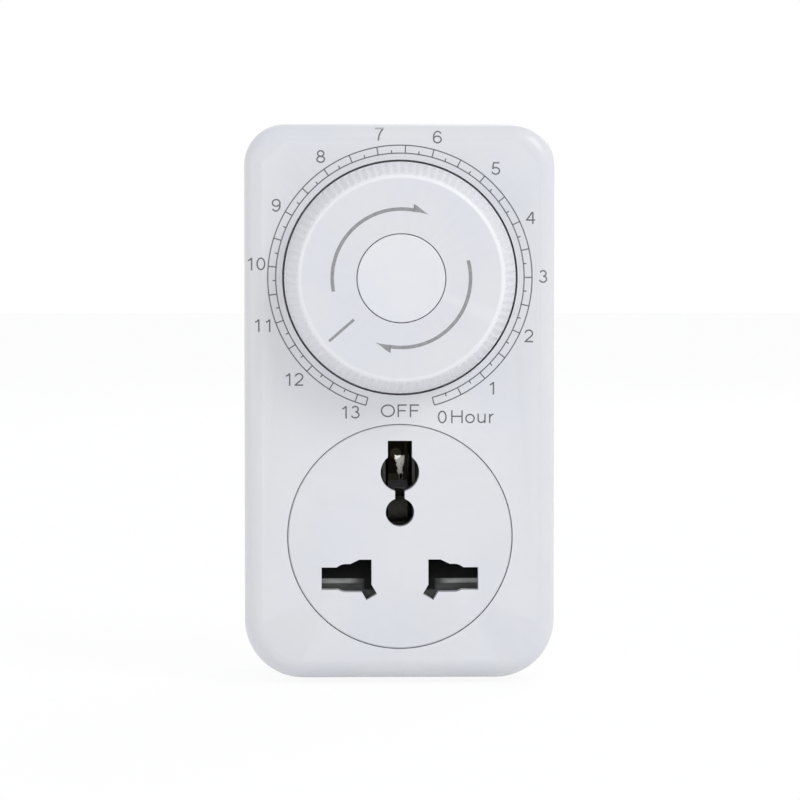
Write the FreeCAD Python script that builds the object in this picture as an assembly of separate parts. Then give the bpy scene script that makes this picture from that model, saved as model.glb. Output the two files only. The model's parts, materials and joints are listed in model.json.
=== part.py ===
import FreeCAD, Part
import math
import os

# Plug in timer switch: a countdown timer that plugs into a wall outlet and has an outlet of its own.
# Lengths are millimetres. X is to the right seen from the front, Y is towards the wall and Z is up.
# The origin is on the rear face, midway between the line and neutral pins.

Vector = FreeCAD.Vector
Y_AXIS = Vector(0, 1, 0)

# Plug and outlet
pin_spacing = 22.2          # line to neutral, centre to centre
earth_rise = 22.23          # earth pin above the line through the other two
pin_width = 6.35
pin_thickness = 3.95
pin_length = 17.7
earth_pin_width = 3.95
earth_pin_height = 7.9
earth_pin_length = 22.7
pin_tip_chamfer = 0.9
pin_neck = 0.5              # how far the sleeve is let into the pin, all round
sleeve_length = 9.3
pin_head_margin = 1.3       # how far the head stands out round the pin
pin_head_thickness = 2.0
pin_tail_radius = 1.1
pin_hole_clearance = 0.05

# Outlet apertures
slot_end_clearance = 0.675  # beyond the outer edge of a flat pin
slot_side_clearance = 0.185
round_slot_x = 10.3         # widening for a round pin
round_slot_z = 0.12
round_slot_radius = 2.7
shoulder_foot_x = 9.5       # where the slope down from the upright slot ends
blade_slot_x = 6.58         # upright slot for a flat blade
blade_slot_width = 2.34
blade_slot_top = 3.65
blade_slot_bottom = -1.11
slant_blade_angle = 30.0
slant_blade_x = 6.5
slant_blade_z = -1.6
slant_blade_length = 4.5
earth_slot_clearance = 0.35
earth_slot_top_clearance = 0.15
earth_round_z = 20.28       # big round hole of the earth aperture
earth_round_radius = 3.7
earth_neck_half_width = 0.94
earth_small_z = 12.66       # small round hole of the earth aperture
earth_small_radius = 2.72

# Round outlet face
outlet_z = 8.03
outlet_radius = 21.35
outlet_gap = 0.15           # groove round the outlet face
outlet_thickness = 3.2
outlet_flange = 0.8
edge_break = 0.25
flange_seat_gap = 0.05

# Case
side_land = 7.6             # from the knob's edge to the side of the case
top_land = 7.15
bottom_land = 5.9
dial_to_outlet_land = 6.0
wall = 2.2
rear_wall = 2.5
top_corner = 7.8
bottom_corner = 11.2
front_edge_radius = 3.5
rear_edge_radius = 1.5
rear_cover_depth = 13.0
lip_thickness = 1.0
lip_height = 1.6
lip_clearance = 0.1

# Dial knob
knob_radius = 22.0
knob_gap = 0.4              # dark ring round the knob
knob_height = 9.0
knob_top_radius = 19.85
knob_rim_height = 0.9
knob_rim_round = 0.85       # less than the rim's height
knob_skirt_show = 0.2       # plain skirt in front of the face
knob_wall = 1.6
knob_top_wall = 2.0
knob_hub_radius = 6.0
knob_web_count = 6
knob_web_thickness = 1.2
rib_count = 90
rib_depth = 0.25
well_depth = 3.4
well_floor = 1.6
well_wall = 1.6
well_clearance = 0.4
cap_radius = 8.3
cap_gap = 0.15
cap_depth = 2.4
cap_thickness = 1.4
cap_rim_inset = 0.2
cap_rim_thickness = 1.2
knob_slot_width = 0.5

# Spindle
spindle_radius = 3.0
spindle_flat = 0.7
spindle_end_radius = 2.0
running_clearance = 0.05
spindle_collar_radius = 4.4
knob_screw_radius = 1.2
knob_screw_length = 6.0
screw_head_height = 1.5
spindle_shoulder_gap = 0.2
spindle_end_gap = 0.2
collar_gap = 0.1
clutch_thickness = 0.25
clutch_dish = 0.1
clutch_slot_depth = 0.8
clutch_slot_width = 0.6
clutch_slot_count = 3

# Gear train
diameter_per_tooth = 0.5    # pitch circle's diameter over the number of teeth
main_teeth = 40
pinion_teeth = 10
second_teeth = 36
pressure_angle = 20.0
backlash = 0.12
tooth_top = 0.45            # above the pitch circle
tooth_foot = 0.6            # below the pitch circle
intermediate_direction = 45.0
motor_direction = 190.0
arbor_radius = 1.0
arbor_end_inset = 0.1
wheel_web = 1.2
wheel_rim = 2.0
wheel_hub_margin = 1.0

# Movement, from the front backwards
plate_seat_gap = 0.1
plate_thickness = 1.2
layer_gap = 0.5
cam_thickness = 3.0
main_wheel_thickness = 2.8
second_wheel_thickness = 2.4
plate_side_room = 2.7       # from the plates to the inside of the case
plate_top_room = 7.2
plate_bottom_drop = 22.9    # below the spindle
plate_corner = 4.0
pillar_inset = 4.0
pillar_top_inset = 3.0
pillar_radius = 2.4
movement_screw_radius = 1.2
movement_screw_bite = 3.6

# Cam and switch
cam_arbor_gap = 0.5         # from the cam's rim to the intermediate wheel's arbor
cam_hub_radius = 5.0
cam_rim_width = 1.2
notch_depth = 2.2
notch_reach = 1.0           # how far the notch's ramps run on past the rim
notch_half_angle = 10.0
notch_ramp_angle = 7.0
pointer_direction = 221.0   # degrees from +X towards +Z, where the pointer stands
switch_length = 20.0
switch_height = 10.0
switch_thickness = 6.4
switch_wall = 1.2
lever_room = 2.9            # from the cam's rim down to the switch
lever_thickness = 0.5
lever_pivot_x = -8.0
lever_nib_radius = 0.8
lever_gap = 0.05
lever_tip_x = 3.5
lever_eye_radius = 1.0
lever_pin_radius = 0.5
lever_ear_thickness = 1.0
lever_pivot_rise = 1.2      # pivot above the switch
lever_rise = 0.9            # underside of the lever above the switch
plunger_x = -3.5
plunger_radius = 0.9
plunger_length = 3.2
plunger_foot_radius = 1.44
plunger_foot_gap = 0.3
terminal_x = 7.0
terminal_width = 3.2
terminal_thickness = 0.8
terminal_drop = 2.5
terminal_stand = 0.8        # above the switch's floor
blade_drop = 0.6            # below the plunger's foot
blade_thickness = 0.4
blade_end = 1.0
blade_riser_width = 0.6
output_riser_width = 0.8
contact_point_radius = 0.9
contact_point_height = 0.6
rivet_inset = 3.5           # from the terminals to the switch's rivets
rivet_drop = 6.2            # from the switch's top to its rivets
rivet_head_height = 0.6
rivet_head_share = 1.7      # head radius over shank radius
rivet_tail_share = 1.4

# Motor
motor_radius = 17.0
motor_depth = 11.4
motor_wall = 0.8
motor_rear_room = 2.4
can_edge_radius = 1.2
can_gap = 0.1
lid_inset = 0.1
lid_fit = 0.02
bearing_skin = 0.2
gearbox_room = 0.5
pinion_collar_thickness = 0.4
pinion_collar_gap = 0.2
bearing_leg_count = 3
bearing_leg_width = 2.4
bearing_leg_depth = 2.0
bobbin_wall = 1.0
bobbin_bore = 8.5
rotor_radius = 7.2
coil_recess = 0.5
pole_thickness = 0.8
pole_count = 10
pole_bridge = 0.8
pole_gap = 0.8
pole_lean = 1.2
rotor_shaft_radius = 0.8
rotor_front_room = 0.4
rotor_end_room = 1.6
rotor_shaft_inset = 0.3
motor_ear_radius = 2.6
motor_ear_bite = 0.4        # how far the ears reach into the can
motor_rivet_radius = 1.0

# Contacts, carrier and shutter
shutter_gap = 0.2
shutter_thickness = 2.7
shutter_half_width = 17.0
shutter_top = 4.2
shutter_bottom = -4.8
shutter_travel = 7.7
shutter_lip = 1.9           # flat face below the ramp
shutter_back = 0.7
carrier_plate = 1.8
carrier_half_width = 18.6
carrier_top = 29.2
carrier_bottom = -15.6
rail_clearance = 0.2
rail_rise = 2.0
stop_margin = 0.8
ramp_end_clearance = 0.4
pocket_wall = 1.2
pocket_depth = 12.0
pocket_clearance = 0.3
contact_thickness = 0.6
contact_grip = 0.075        # clearance each side of a pin
contact_length = 12.0
contact_width = 6.6
contact_flare = 0.5
contact_mouth_inset = 0.2   # mouth behind the carrier plate
earth_contact_rise = 0.6    # above the bottom of the small round hole
earth_tab_length = 3.6
contact_rivet_radius = 0.8
contact_rivet_head = 0.5
spring_wire = 0.3
spring_mean_radius = 0.9
spring_turns = 9
spring_pocket = 3.0
spring_side_gap = 0.08
spring_seat_thickness = 1.4
spring_seat_half_width = 3.0
carrier_post_radius = 2.3
carrier_post_z = 10.0
small_screw_radius = 1.1
screw_tip_room = 0.3

# Bars and fuse
bar_thickness = 0.8
bar_width = 3.4
bar_rise = 1.6              # of the bars over the carrier's top
bar_end_gap = 0.3
outer_bar_inset = 0.4
fuse_z = 11.0
fuse_radius = 3.15
fuse_length = 25.4
fuse_cap_length = 6.5
fuse_cap_thickness = 0.35
fuse_cover_thickness = 2.5
fuse_cover_half_width = 15.0
fuse_cover_half_height = 4.1
fuse_cover_gap = 0.15
fuse_cover_room = 0.55      # between the cover and the fuse
fuse_grip_x = 4.3
fuse_grip_width = 2.4
fuse_clip_thickness = 0.5
fuse_clip_gap = 0.05
fuse_clip_reach = 1.9       # of the leaves past the fuse's middle
fuse_clip_inset = 0.3
grip_reach = 1.42           # of the carrier's grips past the fuse's middle
grip_clearance = 0.03
grip_mouth_share = 0.93
pull_notch_radius = 2.0
pull_notch_offset = 0.6
clamp_thickness = 2.5
clamp_half_width = 20.3
clamp_half_height = 4.7
clamp_screw_x = 18.0
clamp_gap = 0.5             # between the clamp and the bars above it

# Case screws and leads
case_screw_radius = 1.45
case_head_radius = 2.7
case_post_radius = 3.0
case_screw_recess = 6.0
case_screw_length = 16.0
screw_cross_share = 0.55    # of the head's radius
screw_cross_width = 0.6
screw_pilot = 0.15          # how much smaller than the screw its hole is
screw_pass = 0.2            # how much larger than the screw its clear hole is
lead_radius = 0.5
lead_directions = (255.0, 285.0)
lead_wall_room = 8.4        # from the inside of the case to the neutral lead
lead_corner_share = 0.45
lead_bar_drop = 1.5
lead_bar_inset = 1.0
neutral_lead_route = ((0, 0), (0.46, 0.19), (0.92, 0.41), (1.0, 0.7), (0.975, 1.0))
line_lead_route = ((0, 0), (0.415, 0.34), (1.0, 0.62), (1.0, 1.0))
case_post_inset = (5.2, 4.9)    # lower posts, from the inside of the case
case_post_top_inset = (3.8, 3.4)

# Making
overlap = 0.1               # how far fused forms reach into each other
same_place = 0.001          # lengths nearer than this are the same

# Places worked out from the sizes above
pin_x = pin_spacing / 2
half_width = knob_radius + side_land
dial_z = outlet_z + outlet_radius + dial_to_outlet_land + knob_radius
case_top = dial_z + knob_radius + top_land
case_bottom = outlet_z - outlet_radius - bottom_land
inner_half = half_width - wall
inner_top = case_top - wall
inner_bottom = case_bottom + wall
case_depth = (well_depth + well_floor + plate_seat_gap + 2 * plate_thickness + 4 * layer_gap
              + cam_thickness + main_wheel_thickness + second_wheel_thickness
              + motor_depth + motor_rear_room + rear_wall)
face_y = -case_depth
inner_face_y = face_y + wall
inner_rear_y = -rear_wall
split_y = -rear_cover_depth
well_y = face_y + well_depth
front_plate_y = well_y + well_floor + plate_seat_gap
cam_y = front_plate_y + plate_thickness + layer_gap
main_y = cam_y + cam_thickness + layer_gap
second_y = main_y + main_wheel_thickness + layer_gap
rear_plate_y = second_y + second_wheel_thickness + layer_gap
motor_y = rear_plate_y + plate_thickness
motor_rear_y = motor_y + motor_depth
main_pitch = diameter_per_tooth * main_teeth / 2
pinion_pitch = diameter_per_tooth * pinion_teeth / 2
second_pitch = diameter_per_tooth * second_teeth / 2
cam_radius = main_pitch + pinion_pitch - arbor_radius - cam_arbor_gap
intermediate_x = (main_pitch + pinion_pitch) * math.cos(math.radians(intermediate_direction))
intermediate_z = dial_z + (main_pitch + pinion_pitch) * math.sin(math.radians(intermediate_direction))
motor_x = intermediate_x + (second_pitch + pinion_pitch) * math.cos(math.radians(motor_direction))
motor_z = intermediate_z + (second_pitch + pinion_pitch) * math.sin(math.radians(motor_direction))
plate_half = inner_half - plate_side_room
plate_top = inner_top - plate_top_room
plate_bottom = dial_z - plate_bottom_drop
pillar_x = plate_half - pillar_inset
pillar_top_z = plate_top - pillar_top_inset
pillar_bottom_z = plate_bottom + pillar_inset
switch_top = dial_z - cam_radius - lever_room
switch_bottom = switch_top - switch_height
outlet_back_y = face_y + outlet_thickness
shutter_y = outlet_back_y + shutter_gap
carrier_y = shutter_y + shutter_thickness + shutter_gap / 2
pocket_y = carrier_y + carrier_plate
contact_base_y = pocket_y + contact_length + contact_thickness
head_y = inner_rear_y - pin_head_thickness
earth_step_z = earth_rise + earth_pin_height / 2 + pin_head_margin
fuse_y = -fuse_cover_thickness - fuse_cover_room - fuse_radius
fuse_base_y = fuse_y - fuse_radius - 2 * fuse_clip_gap - fuse_clip_thickness
carrier_post_x = inner_half - carrier_post_radius
lower_post_x = inner_half - case_post_inset[0]
lower_post_z = inner_bottom + case_post_inset[1]
upper_post_x = inner_half - case_post_top_inset[0]
upper_post_z = inner_top - case_post_top_inset[1]
case_posts = [(lower_post_x, lower_post_z), (-lower_post_x, lower_post_z),
              (upper_post_x, upper_post_z), (-upper_post_x, upper_post_z)]


def box(x0, x1, y0, y1, z0, z1):
    return Part.makeBox(x1 - x0, y1 - y0, z1 - z0, Vector(x0, y0, z0))


def rod(x, z, y0, y1, radius):
    return Part.makeCylinder(radius, y1 - y0, Vector(x, y0, z), Y_AXIS)


def ring(x, z, y0, y1, outer, inner):
    return rod(x, z, y0, y1, outer).cut(rod(x, z, y0, y1, inner))


def upright_rod(x, y, z0, z1, radius):
    return Part.makeCylinder(radius, z1 - z0, Vector(x, y, z0), Vector(0, 0, 1))


def turn(shape, x, z, degrees):
    # Turns from +X towards +Z about an axis along Y.
    shape.rotate(Vector(x, 0, z), Y_AXIS, -degrees)
    return shape


def prism_xz(points, y0, y1):
    wire = Part.makePolygon([Vector(x, y0, z) for x, z in points + points[:1]])
    return Part.Face(wire).extrude(Vector(0, y1 - y0, 0))


def prism_yz(points, x0, x1):
    wire = Part.makePolygon([Vector(x0, y, z) for y, z in points + points[:1]])
    return Part.Face(wire).extrude(Vector(x1 - x0, 0, 0))


def rounded_plate(half, bottom, top, lower_radius, upper_radius, y0, y1):
    slab = box(-half, half, y0, y1, bottom, top)
    lower = [e for e in upright_edges(slab) if e.CenterOfMass.z < (bottom + top) / 2]
    slab = slab.makeFillet(lower_radius, lower)
    upper = [e for e in upright_edges(slab) if e.CenterOfMass.z > top - upper_radius / 2]
    return slab.makeFillet(upper_radius, upper)


def upright_edges(shape):
    # Straight edges along Y.
    found = []
    for edge in shape.Edges:
        if isinstance(edge.Curve, Part.Line) and abs(edge.Curve.Direction.y) > 1 - same_place:
            found.append(edge)
    return found


def edges_at(shape, y):
    return [e for e in shape.Edges
            if abs(e.BoundBox.YMin - y) < same_place and abs(e.BoundBox.YMax - y) < same_place]


def joined(shapes):
    whole = shapes[0].fuse(shapes[1:]) if len(shapes) > 1 else shapes[0]
    return whole.removeSplitter()


def screw(x, z, head_y, tip_y, radius, head_radius):
    # The head is at head_y and the shank runs forward to tip_y.
    head = rod(x, z, head_y, head_y + screw_head_height, head_radius)
    reach = screw_cross_share * head_radius
    half = screw_cross_width / 2
    cross = box(-reach, reach, 0, screw_head_height / 2, -half, half)
    slot = joined([cross, turn(cross.copy(), 0, 0, 90)])
    slot.translate(Vector(x, head_y + screw_head_height / 2, z))
    return joined([head, rod(x, z, tip_y, head_y, radius)]).cut(slot)


def gear(teeth, x, z, y0, y1, direction):
    # One tooth points in the given direction.
    pitch = diameter_per_tooth * teeth / 2
    base = pitch * math.cos(math.radians(pressure_angle))
    tip = pitch + tooth_top
    foot = pitch - tooth_foot
    start = max(base, foot)
    half_tooth = (math.pi * diameter_per_tooth / 2 - backlash) / (2 * pitch) + involute(base, pitch)

    def at(radius, angle):
        return Vector(x + radius * math.cos(angle), y0, z + radius * math.sin(angle))

    edges = []
    for tooth in range(teeth):
        middle = math.radians(direction) + 2 * math.pi * tooth / teeth
        following = middle + 2 * math.pi / teeth
        half = {r: half_tooth - involute(base, r) for r in (start, (start + tip) / 2, tip)}
        rise = [at(r, middle - half[r]) for r in (start, (start + tip) / 2, tip)]
        fall = [at(r, middle + half[r]) for r in (tip, (start + tip) / 2, start)]
        next_start = at(start, following - half[start])
        edges.append(Part.Arc(rise[0], rise[1], rise[2]).toShape())
        edges.append(Part.Arc(rise[2], at(tip, middle), fall[0]).toShape())
        edges.append(Part.Arc(fall[0], fall[1], fall[2]).toShape())
        low = at(foot, middle + half[start])
        next_low = at(foot, following - half[start])
        if start > foot + same_place:
            edges.append(Part.LineSegment(fall[2], low).toShape())
        edges.append(Part.Arc(low, at(foot, (middle + following) / 2), next_low).toShape())
        if start > foot + same_place:
            edges.append(Part.LineSegment(next_low, next_start).toShape())
    return Part.Face(Part.Wire(edges)).extrude(Vector(0, y1 - y0, 0))


def involute(base, radius):
    roll = math.sqrt(max((radius / base) ** 2 - 1, 0))
    return roll - math.atan(roll)


def biarc(start, start_way, end, end_way):
    # Two arcs that leave start along start_way and reach end along end_way.
    span = end - start
    both = start_way + end_way
    bend = 2 * (1 - start_way.dot(end_way))
    reach = (math.sqrt(span.dot(both) ** 2 + bend * span.dot(span)) - span.dot(both)) / bend
    meet = (start + start_way * reach + end - end_way * reach) * 0.5
    return [arc_from(start, start_way, meet), arc_from(end, end_way * -1, meet)]


def arc_from(start, way, end):
    chord = end - start
    along = chord * (1 / chord.Length)
    side = way - along * way.dot(along)
    half = math.acos(min(1.0, way.dot(along))) / 2
    middle = start + chord * 0.5 + side * (chord.Length / 2 * math.tan(half) / side.Length)
    return Part.Arc(start, middle, end).toShape()


def coil_spring(x, y, z0, z1, mean_radius, wire, turns):
    steps = turns * 4
    climb = (z1 - z0 - wire) / steps
    speed = math.hypot(mean_radius * math.pi / 2, climb)

    def place(i):
        angle = i * math.pi / 2
        return Vector(x + mean_radius * math.cos(angle), y + mean_radius * math.sin(angle),
                      z0 + wire / 2 + climb * i)

    def way(i):
        angle = i * math.pi / 2
        round_part = mean_radius * math.pi / 2 / speed
        return Vector(-math.sin(angle) * round_part, math.cos(angle) * round_part, climb / speed)

    edges = []
    for i in range(steps):
        edges += biarc(place(i), way(i), place(i + 1), way(i + 1))
    path = Part.Wire(Part.__sortEdges__(edges))
    section = Part.Wire(Part.makeCircle(wire / 2, place(0), way(0)))
    print("shutter spring: gap between turns", round(climb * 4 - wire, 2))
    return path.makePipeShell([section], True, False)


def lead(points, radius):
    # Straight runs joined by tangent arcs.
    places = [Vector(*p) for p in points]
    edges = []
    begin = places[0]
    for before, corner, after in zip(places, places[1:], places[2:]):
        back = before - corner
        onward = after - corner
        reach = lead_corner_share * min(back.Length, onward.Length)
        back.normalize()
        onward.normalize()
        half_turn = (math.pi - math.acos(back.dot(onward))) / 2
        print("lead: bend radius", round(reach / math.tan(half_turn), 1))
        enter = corner + back * reach
        leave = corner + onward * reach
        toward = (back + onward) * (1 / (back + onward).Length)
        centre_gap = reach / math.tan(half_turn) / math.cos(half_turn)
        middle = corner + toward * (centre_gap - reach / math.tan(half_turn))
        edges.append(Part.LineSegment(begin, enter).toShape())
        edges.append(Part.Arc(enter, middle, leave).toShape())
        begin = leave
    edges.append(Part.LineSegment(begin, places[-1]).toShape())
    path = Part.Wire(edges)
    section = Part.Wire(Part.makeCircle(radius, places[0], places[1] - places[0]))
    tube = path.makePipeShell([section], True, False)
    plain_volume = math.pi * radius ** 2 * path.Length
    print("lead: volume over section times length", round(tube.Volume / plain_volume, 3))
    return tube


def flat_pin_aperture(side, y0, y1):
    outer = pin_x + pin_width / 2 + slot_end_clearance
    half = pin_thickness / 2 + slot_side_clearance
    inner = blade_slot_x - blade_slot_width / 2
    round_top = round_slot_z + round_slot_radius
    flat = box(blade_slot_x, outer, y0, y1, -half, half)
    round_part = rod(round_slot_x, round_slot_z, y0, y1, round_slot_radius)
    below = box(blade_slot_x, round_slot_x, y0, y1, round_slot_z - round_slot_radius, 0)
    blade = box(inner, inner + blade_slot_width, y0, y1, blade_slot_bottom, blade_slot_top)
    shoulder = prism_xz([(blade_slot_x, 0), (blade_slot_x, blade_slot_top),
                         (inner + blade_slot_width, blade_slot_top), (shoulder_foot_x, round_top),
                         (round_slot_x, round_top), (round_slot_x, 0)], y0, y1)
    slant = box(-blade_slot_width / 2, blade_slot_width / 2, y0, y1,
                -slant_blade_length / 2, slant_blade_length / 2)
    turn(slant, 0, 0, -slant_blade_angle)
    slant.translate(Vector(slant_blade_x, 0, slant_blade_z))
    tool = joined([flat, round_part, below, blade, shoulder, slant])
    if side < 0:
        tool = tool.mirror(Vector(0, 0, 0), Vector(1, 0, 0))
    return tool


def earth_aperture(y0, y1):
    half = earth_pin_width / 2 + earth_slot_clearance
    top = earth_rise + earth_pin_height / 2 + earth_slot_top_clearance
    return joined([box(-half, half, y0, y1, earth_round_z, top),
                   rod(0, earth_round_z, y0, y1, earth_round_radius),
                   box(-earth_neck_half_width, earth_neck_half_width, y0, y1, earth_small_z, earth_round_z),
                   rod(0, earth_small_z, y0, y1, earth_small_radius)])


def apertures(y0, y1):
    return [flat_pin_aperture(1, y0, y1), flat_pin_aperture(-1, y0, y1), earth_aperture(y0, y1)]


def case_block(y0, y1, inset):
    return rounded_plate(half_width - inset, case_bottom + inset, case_top - inset,
                         bottom_corner - inset, top_corner - inset, y0, y1)


def front_cover():
    outer = case_block(face_y, split_y, 0)
    outer = outer.makeFillet(front_edge_radius, edges_at(outer, face_y))
    shell = outer.cut(case_block(inner_face_y, split_y, wall))
    well_radius = knob_radius + knob_gap
    inside = case_block(inner_face_y, split_y, wall / 2)
    parts = [shell, rod(0, dial_z, inner_face_y, well_y + well_floor, well_radius + well_wall).common(inside)]
    for x, z in case_posts:
        parts.append(rod(x, z, inner_face_y, split_y, case_post_radius).common(inside))
    for x in (-carrier_post_x, carrier_post_x):
        parts.append(rod(x, carrier_post_z, inner_face_y, carrier_y, carrier_post_radius).common(inside))
    for x, z in pillar_places():
        parts.append(rod(x, z, inner_face_y, front_plate_y, pillar_radius))
    cover = joined(parts)
    cuts = [rod(0, dial_z, face_y, well_y, well_radius),
            rod(0, dial_z, well_y, well_y + well_floor, spindle_radius + 2 * running_clearance),
            rod(0, outlet_z, face_y, inner_face_y, outlet_radius + outlet_gap)]
    for x, z in case_posts:
        cuts.append(rod(x, z, inner_face_y + wall, split_y, case_screw_radius - screw_pilot))
    for x in (-carrier_post_x, carrier_post_x):
        cuts.append(rod(x, carrier_post_z, inner_face_y, carrier_y, small_screw_radius - screw_pilot))
    for x, z in pillar_places():
        bite_y = front_plate_y - movement_screw_bite
        cuts.append(rod(x, z, bite_y, front_plate_y, movement_screw_radius - screw_pilot))
    lip = case_block(split_y - lip_height - lip_clearance, split_y, wall - lip_thickness - lip_clearance)
    return cover.cut(cuts + [lip.cut(case_block(split_y - 2 * lip_height, split_y, wall))])


def rear_cover():
    outer = case_block(split_y, 0, 0)
    outer = outer.makeFillet(rear_edge_radius, edges_at(outer, 0))
    shell = outer.cut(case_block(split_y, inner_rear_y, wall))
    lip = case_block(split_y - lip_height, split_y, wall - lip_thickness)
    lip = lip.cut(case_block(split_y - lip_height, split_y, wall))
    inside = case_block(split_y, inner_rear_y, wall / 2)
    parts = [shell, lip]
    for x, z in case_posts:
        parts.append(rod(x, z, split_y, inner_rear_y, case_post_radius).common(inside))
    for x in (-clamp_screw_x, clamp_screw_x):
        parts.append(rod(x, 0, head_y - bar_thickness, inner_rear_y, 2 * small_screw_radius))
    cover = joined(parts)
    cuts = []
    for x, z in case_posts:
        cuts.append(rod(x, z, split_y, 0, case_screw_radius + screw_pass))
        cuts.append(rod(x, z, -case_screw_recess, 0, case_head_radius + screw_pass))
    for x in (-clamp_screw_x, clamp_screw_x):
        cuts.append(rod(x, 0, head_y - bar_thickness, -rear_wall / 2, small_screw_radius - screw_pilot))
    gap = pin_hole_clearance
    for x in (-pin_x, pin_x):
        cuts.append(box(x - pin_width / 2 - gap, x + pin_width / 2 + gap, inner_rear_y, 0,
                        -pin_thickness / 2 - gap, pin_thickness / 2 + gap))
    cuts.append(box(-earth_pin_width / 2 - gap, earth_pin_width / 2 + gap, inner_rear_y, 0,
                    earth_rise - earth_pin_height / 2 - gap, earth_rise + earth_pin_height / 2 + gap))
    cuts.append(box(-fuse_cover_half_width - fuse_cover_gap, fuse_cover_half_width + fuse_cover_gap,
                    inner_rear_y, 0, fuse_z - fuse_cover_half_height - fuse_cover_gap,
                    fuse_z + fuse_cover_half_height + fuse_cover_gap))
    return cover.cut(cuts)


def case_screws():
    head_y_here = -case_screw_recess
    return [screw(x, z, head_y_here, head_y_here - case_screw_length, case_screw_radius, case_head_radius)
            for x, z in case_posts]


def star_wire(outer, inner, y):
    points = []
    for i in range(2 * rib_count):
        angle = math.pi * i / rib_count
        radius = outer if i % 2 == 0 else inner
        points.append(Vector(radius * math.cos(angle), y, dial_z + radius * math.sin(angle)))
    return Part.makePolygon(points + points[:1])


def turned(profile):
    # Profile points are (radius, y), turned about the dial's axis.
    wire = Part.makePolygon([Vector(r, y, dial_z) for r, y in profile + profile[:1]])
    return Part.Face(wire).revolve(Vector(0, 0, dial_z), Y_AXIS, 360)


def dial_knob():
    top_y = face_y - knob_height
    rib_top_y = top_y + knob_rim_height
    skirt_y = well_y - well_clearance
    ribs = Part.makeLoft([star_wire(knob_radius, knob_radius - rib_depth, face_y - knob_skirt_show),
                          star_wire(knob_top_radius, knob_top_radius - rib_depth, rib_top_y)], True, True)
    rim = rod(0, dial_z, top_y, rib_top_y, knob_top_radius - rib_depth)
    rim = rim.makeFillet(knob_rim_round, edges_at(rim, top_y))
    skirt = rod(0, dial_z, face_y - knob_skirt_show, skirt_y, knob_radius)
    hollow_top = top_y + knob_top_wall
    front_reach = knob_top_radius - rib_depth - knob_wall
    back_reach = knob_radius - rib_depth - knob_wall
    hollow = turned([(0, hollow_top), (front_reach, hollow_top), (back_reach, face_y), (back_reach, skirt_y),
                     (0, skirt_y)])
    cap_floor_y = top_y + cap_depth
    hub = rod(0, dial_z, hollow_top - overlap, skirt_y, knob_hub_radius)
    cap_seat = rod(0, dial_z, hollow_top - overlap, cap_floor_y + knob_wall, cap_radius + cap_gap + knob_wall)
    knob = joined([joined([ribs, rim, skirt]).cut(hollow), hub, cap_seat])
    web_foot = knob_hub_radius - overlap
    space = turned([(web_foot, hollow_top - overlap), (front_reach + overlap, hollow_top - overlap),
                    (back_reach + overlap, face_y), (web_foot, face_y)])
    for i in range(knob_web_count):
        web = box(0, knob_radius, hollow_top - overlap, face_y,
                  -knob_web_thickness / 2, knob_web_thickness / 2)
        web.translate(Vector(0, 0, dial_z))
        knob = knob.fuse(turn(web, 0, dial_z, 360 * i / knob_web_count).common(space))
    knob = knob.removeSplitter()
    bore = spindle_section(cap_floor_y + knob_wall, skirt_y, running_clearance / 2)
    screw_hole = rod(0, dial_z, cap_floor_y, cap_floor_y + knob_wall, knob_screw_radius + screw_pass)
    return knob.cut([rod(0, dial_z, top_y, cap_floor_y, cap_radius + cap_gap), bore, screw_hole])


def spindle_section(y0, y1, clearance):
    radius = spindle_radius + clearance
    flat_z = dial_z + spindle_radius - spindle_flat + clearance
    return rod(0, dial_z, y0, y1, radius).cut(box(-radius, radius, y0, y1, flat_z, dial_z + 2 * radius))


def knob_cap():
    top_y = face_y - knob_height
    cap = rod(0, dial_z, top_y, top_y + cap_thickness, cap_radius)
    cap = cap.makeFillet(edge_break, edges_at(cap, top_y))
    rim_radius = cap_radius - cap_rim_inset
    rim = ring(0, dial_z, top_y + cap_thickness, top_y + cap_depth,
               rim_radius, rim_radius - cap_rim_thickness)
    return joined([cap, rim])


def knob_screw():
    seat_y = face_y - knob_height + cap_depth
    head = rod(0, dial_z, seat_y - screw_head_height / 2, seat_y, 2 * knob_screw_radius)
    slot = box(-2 * knob_screw_radius, 2 * knob_screw_radius, seat_y - screw_head_height / 2,
               seat_y - screw_head_height / 4, dial_z - knob_slot_width / 2, dial_z + knob_slot_width / 2)
    return joined([head, rod(0, dial_z, seat_y, seat_y + knob_screw_length, knob_screw_radius)]).cut(slot)


def spindle():
    front_y = face_y - knob_height + cap_depth + knob_wall
    body = spindle_section(front_y, front_plate_y - spindle_shoulder_gap, 0)
    journal = rod(0, dial_z, front_plate_y - spindle_shoulder_gap, rear_plate_y - layer_gap / 2,
                  spindle_radius)
    end = rod(0, dial_z, rear_plate_y - layer_gap / 2, motor_y - spindle_end_gap, spindle_end_radius)
    collar = rod(0, dial_z, main_y - layer_gap + collar_gap, main_y - running_clearance,
                 spindle_collar_radius)
    thread = rod(0, dial_z, front_y, front_y + knob_screw_length, knob_screw_radius - screw_pilot)
    return joined([body, journal, end, collar]).cut(thread)


def switch_cam():
    disc = rod(0, dial_z, cam_y, cam_y + cam_thickness, cam_radius)
    web = ring(0, dial_z, cam_y + wheel_web, cam_y + cam_thickness,
               cam_radius - notch_depth - cam_rim_width, cam_hub_radius)
    outer = cam_radius + notch_reach
    low = cam_radius - notch_depth
    angles = [(-notch_half_angle - notch_ramp_angle, outer), (-notch_half_angle, low),
              (notch_half_angle, low), (notch_half_angle + notch_ramp_angle, outer)]
    points = []
    for angle, radius in angles:
        way = math.radians(pointer_direction + angle)
        points.append((radius * math.cos(way), dial_z + radius * math.sin(way)))
    notch = prism_xz(points, cam_y, cam_y + cam_thickness)
    bore = rod(0, dial_z, cam_y, cam_y + cam_thickness, spindle_radius)
    return disc.cut([web, notch, bore])


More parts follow.
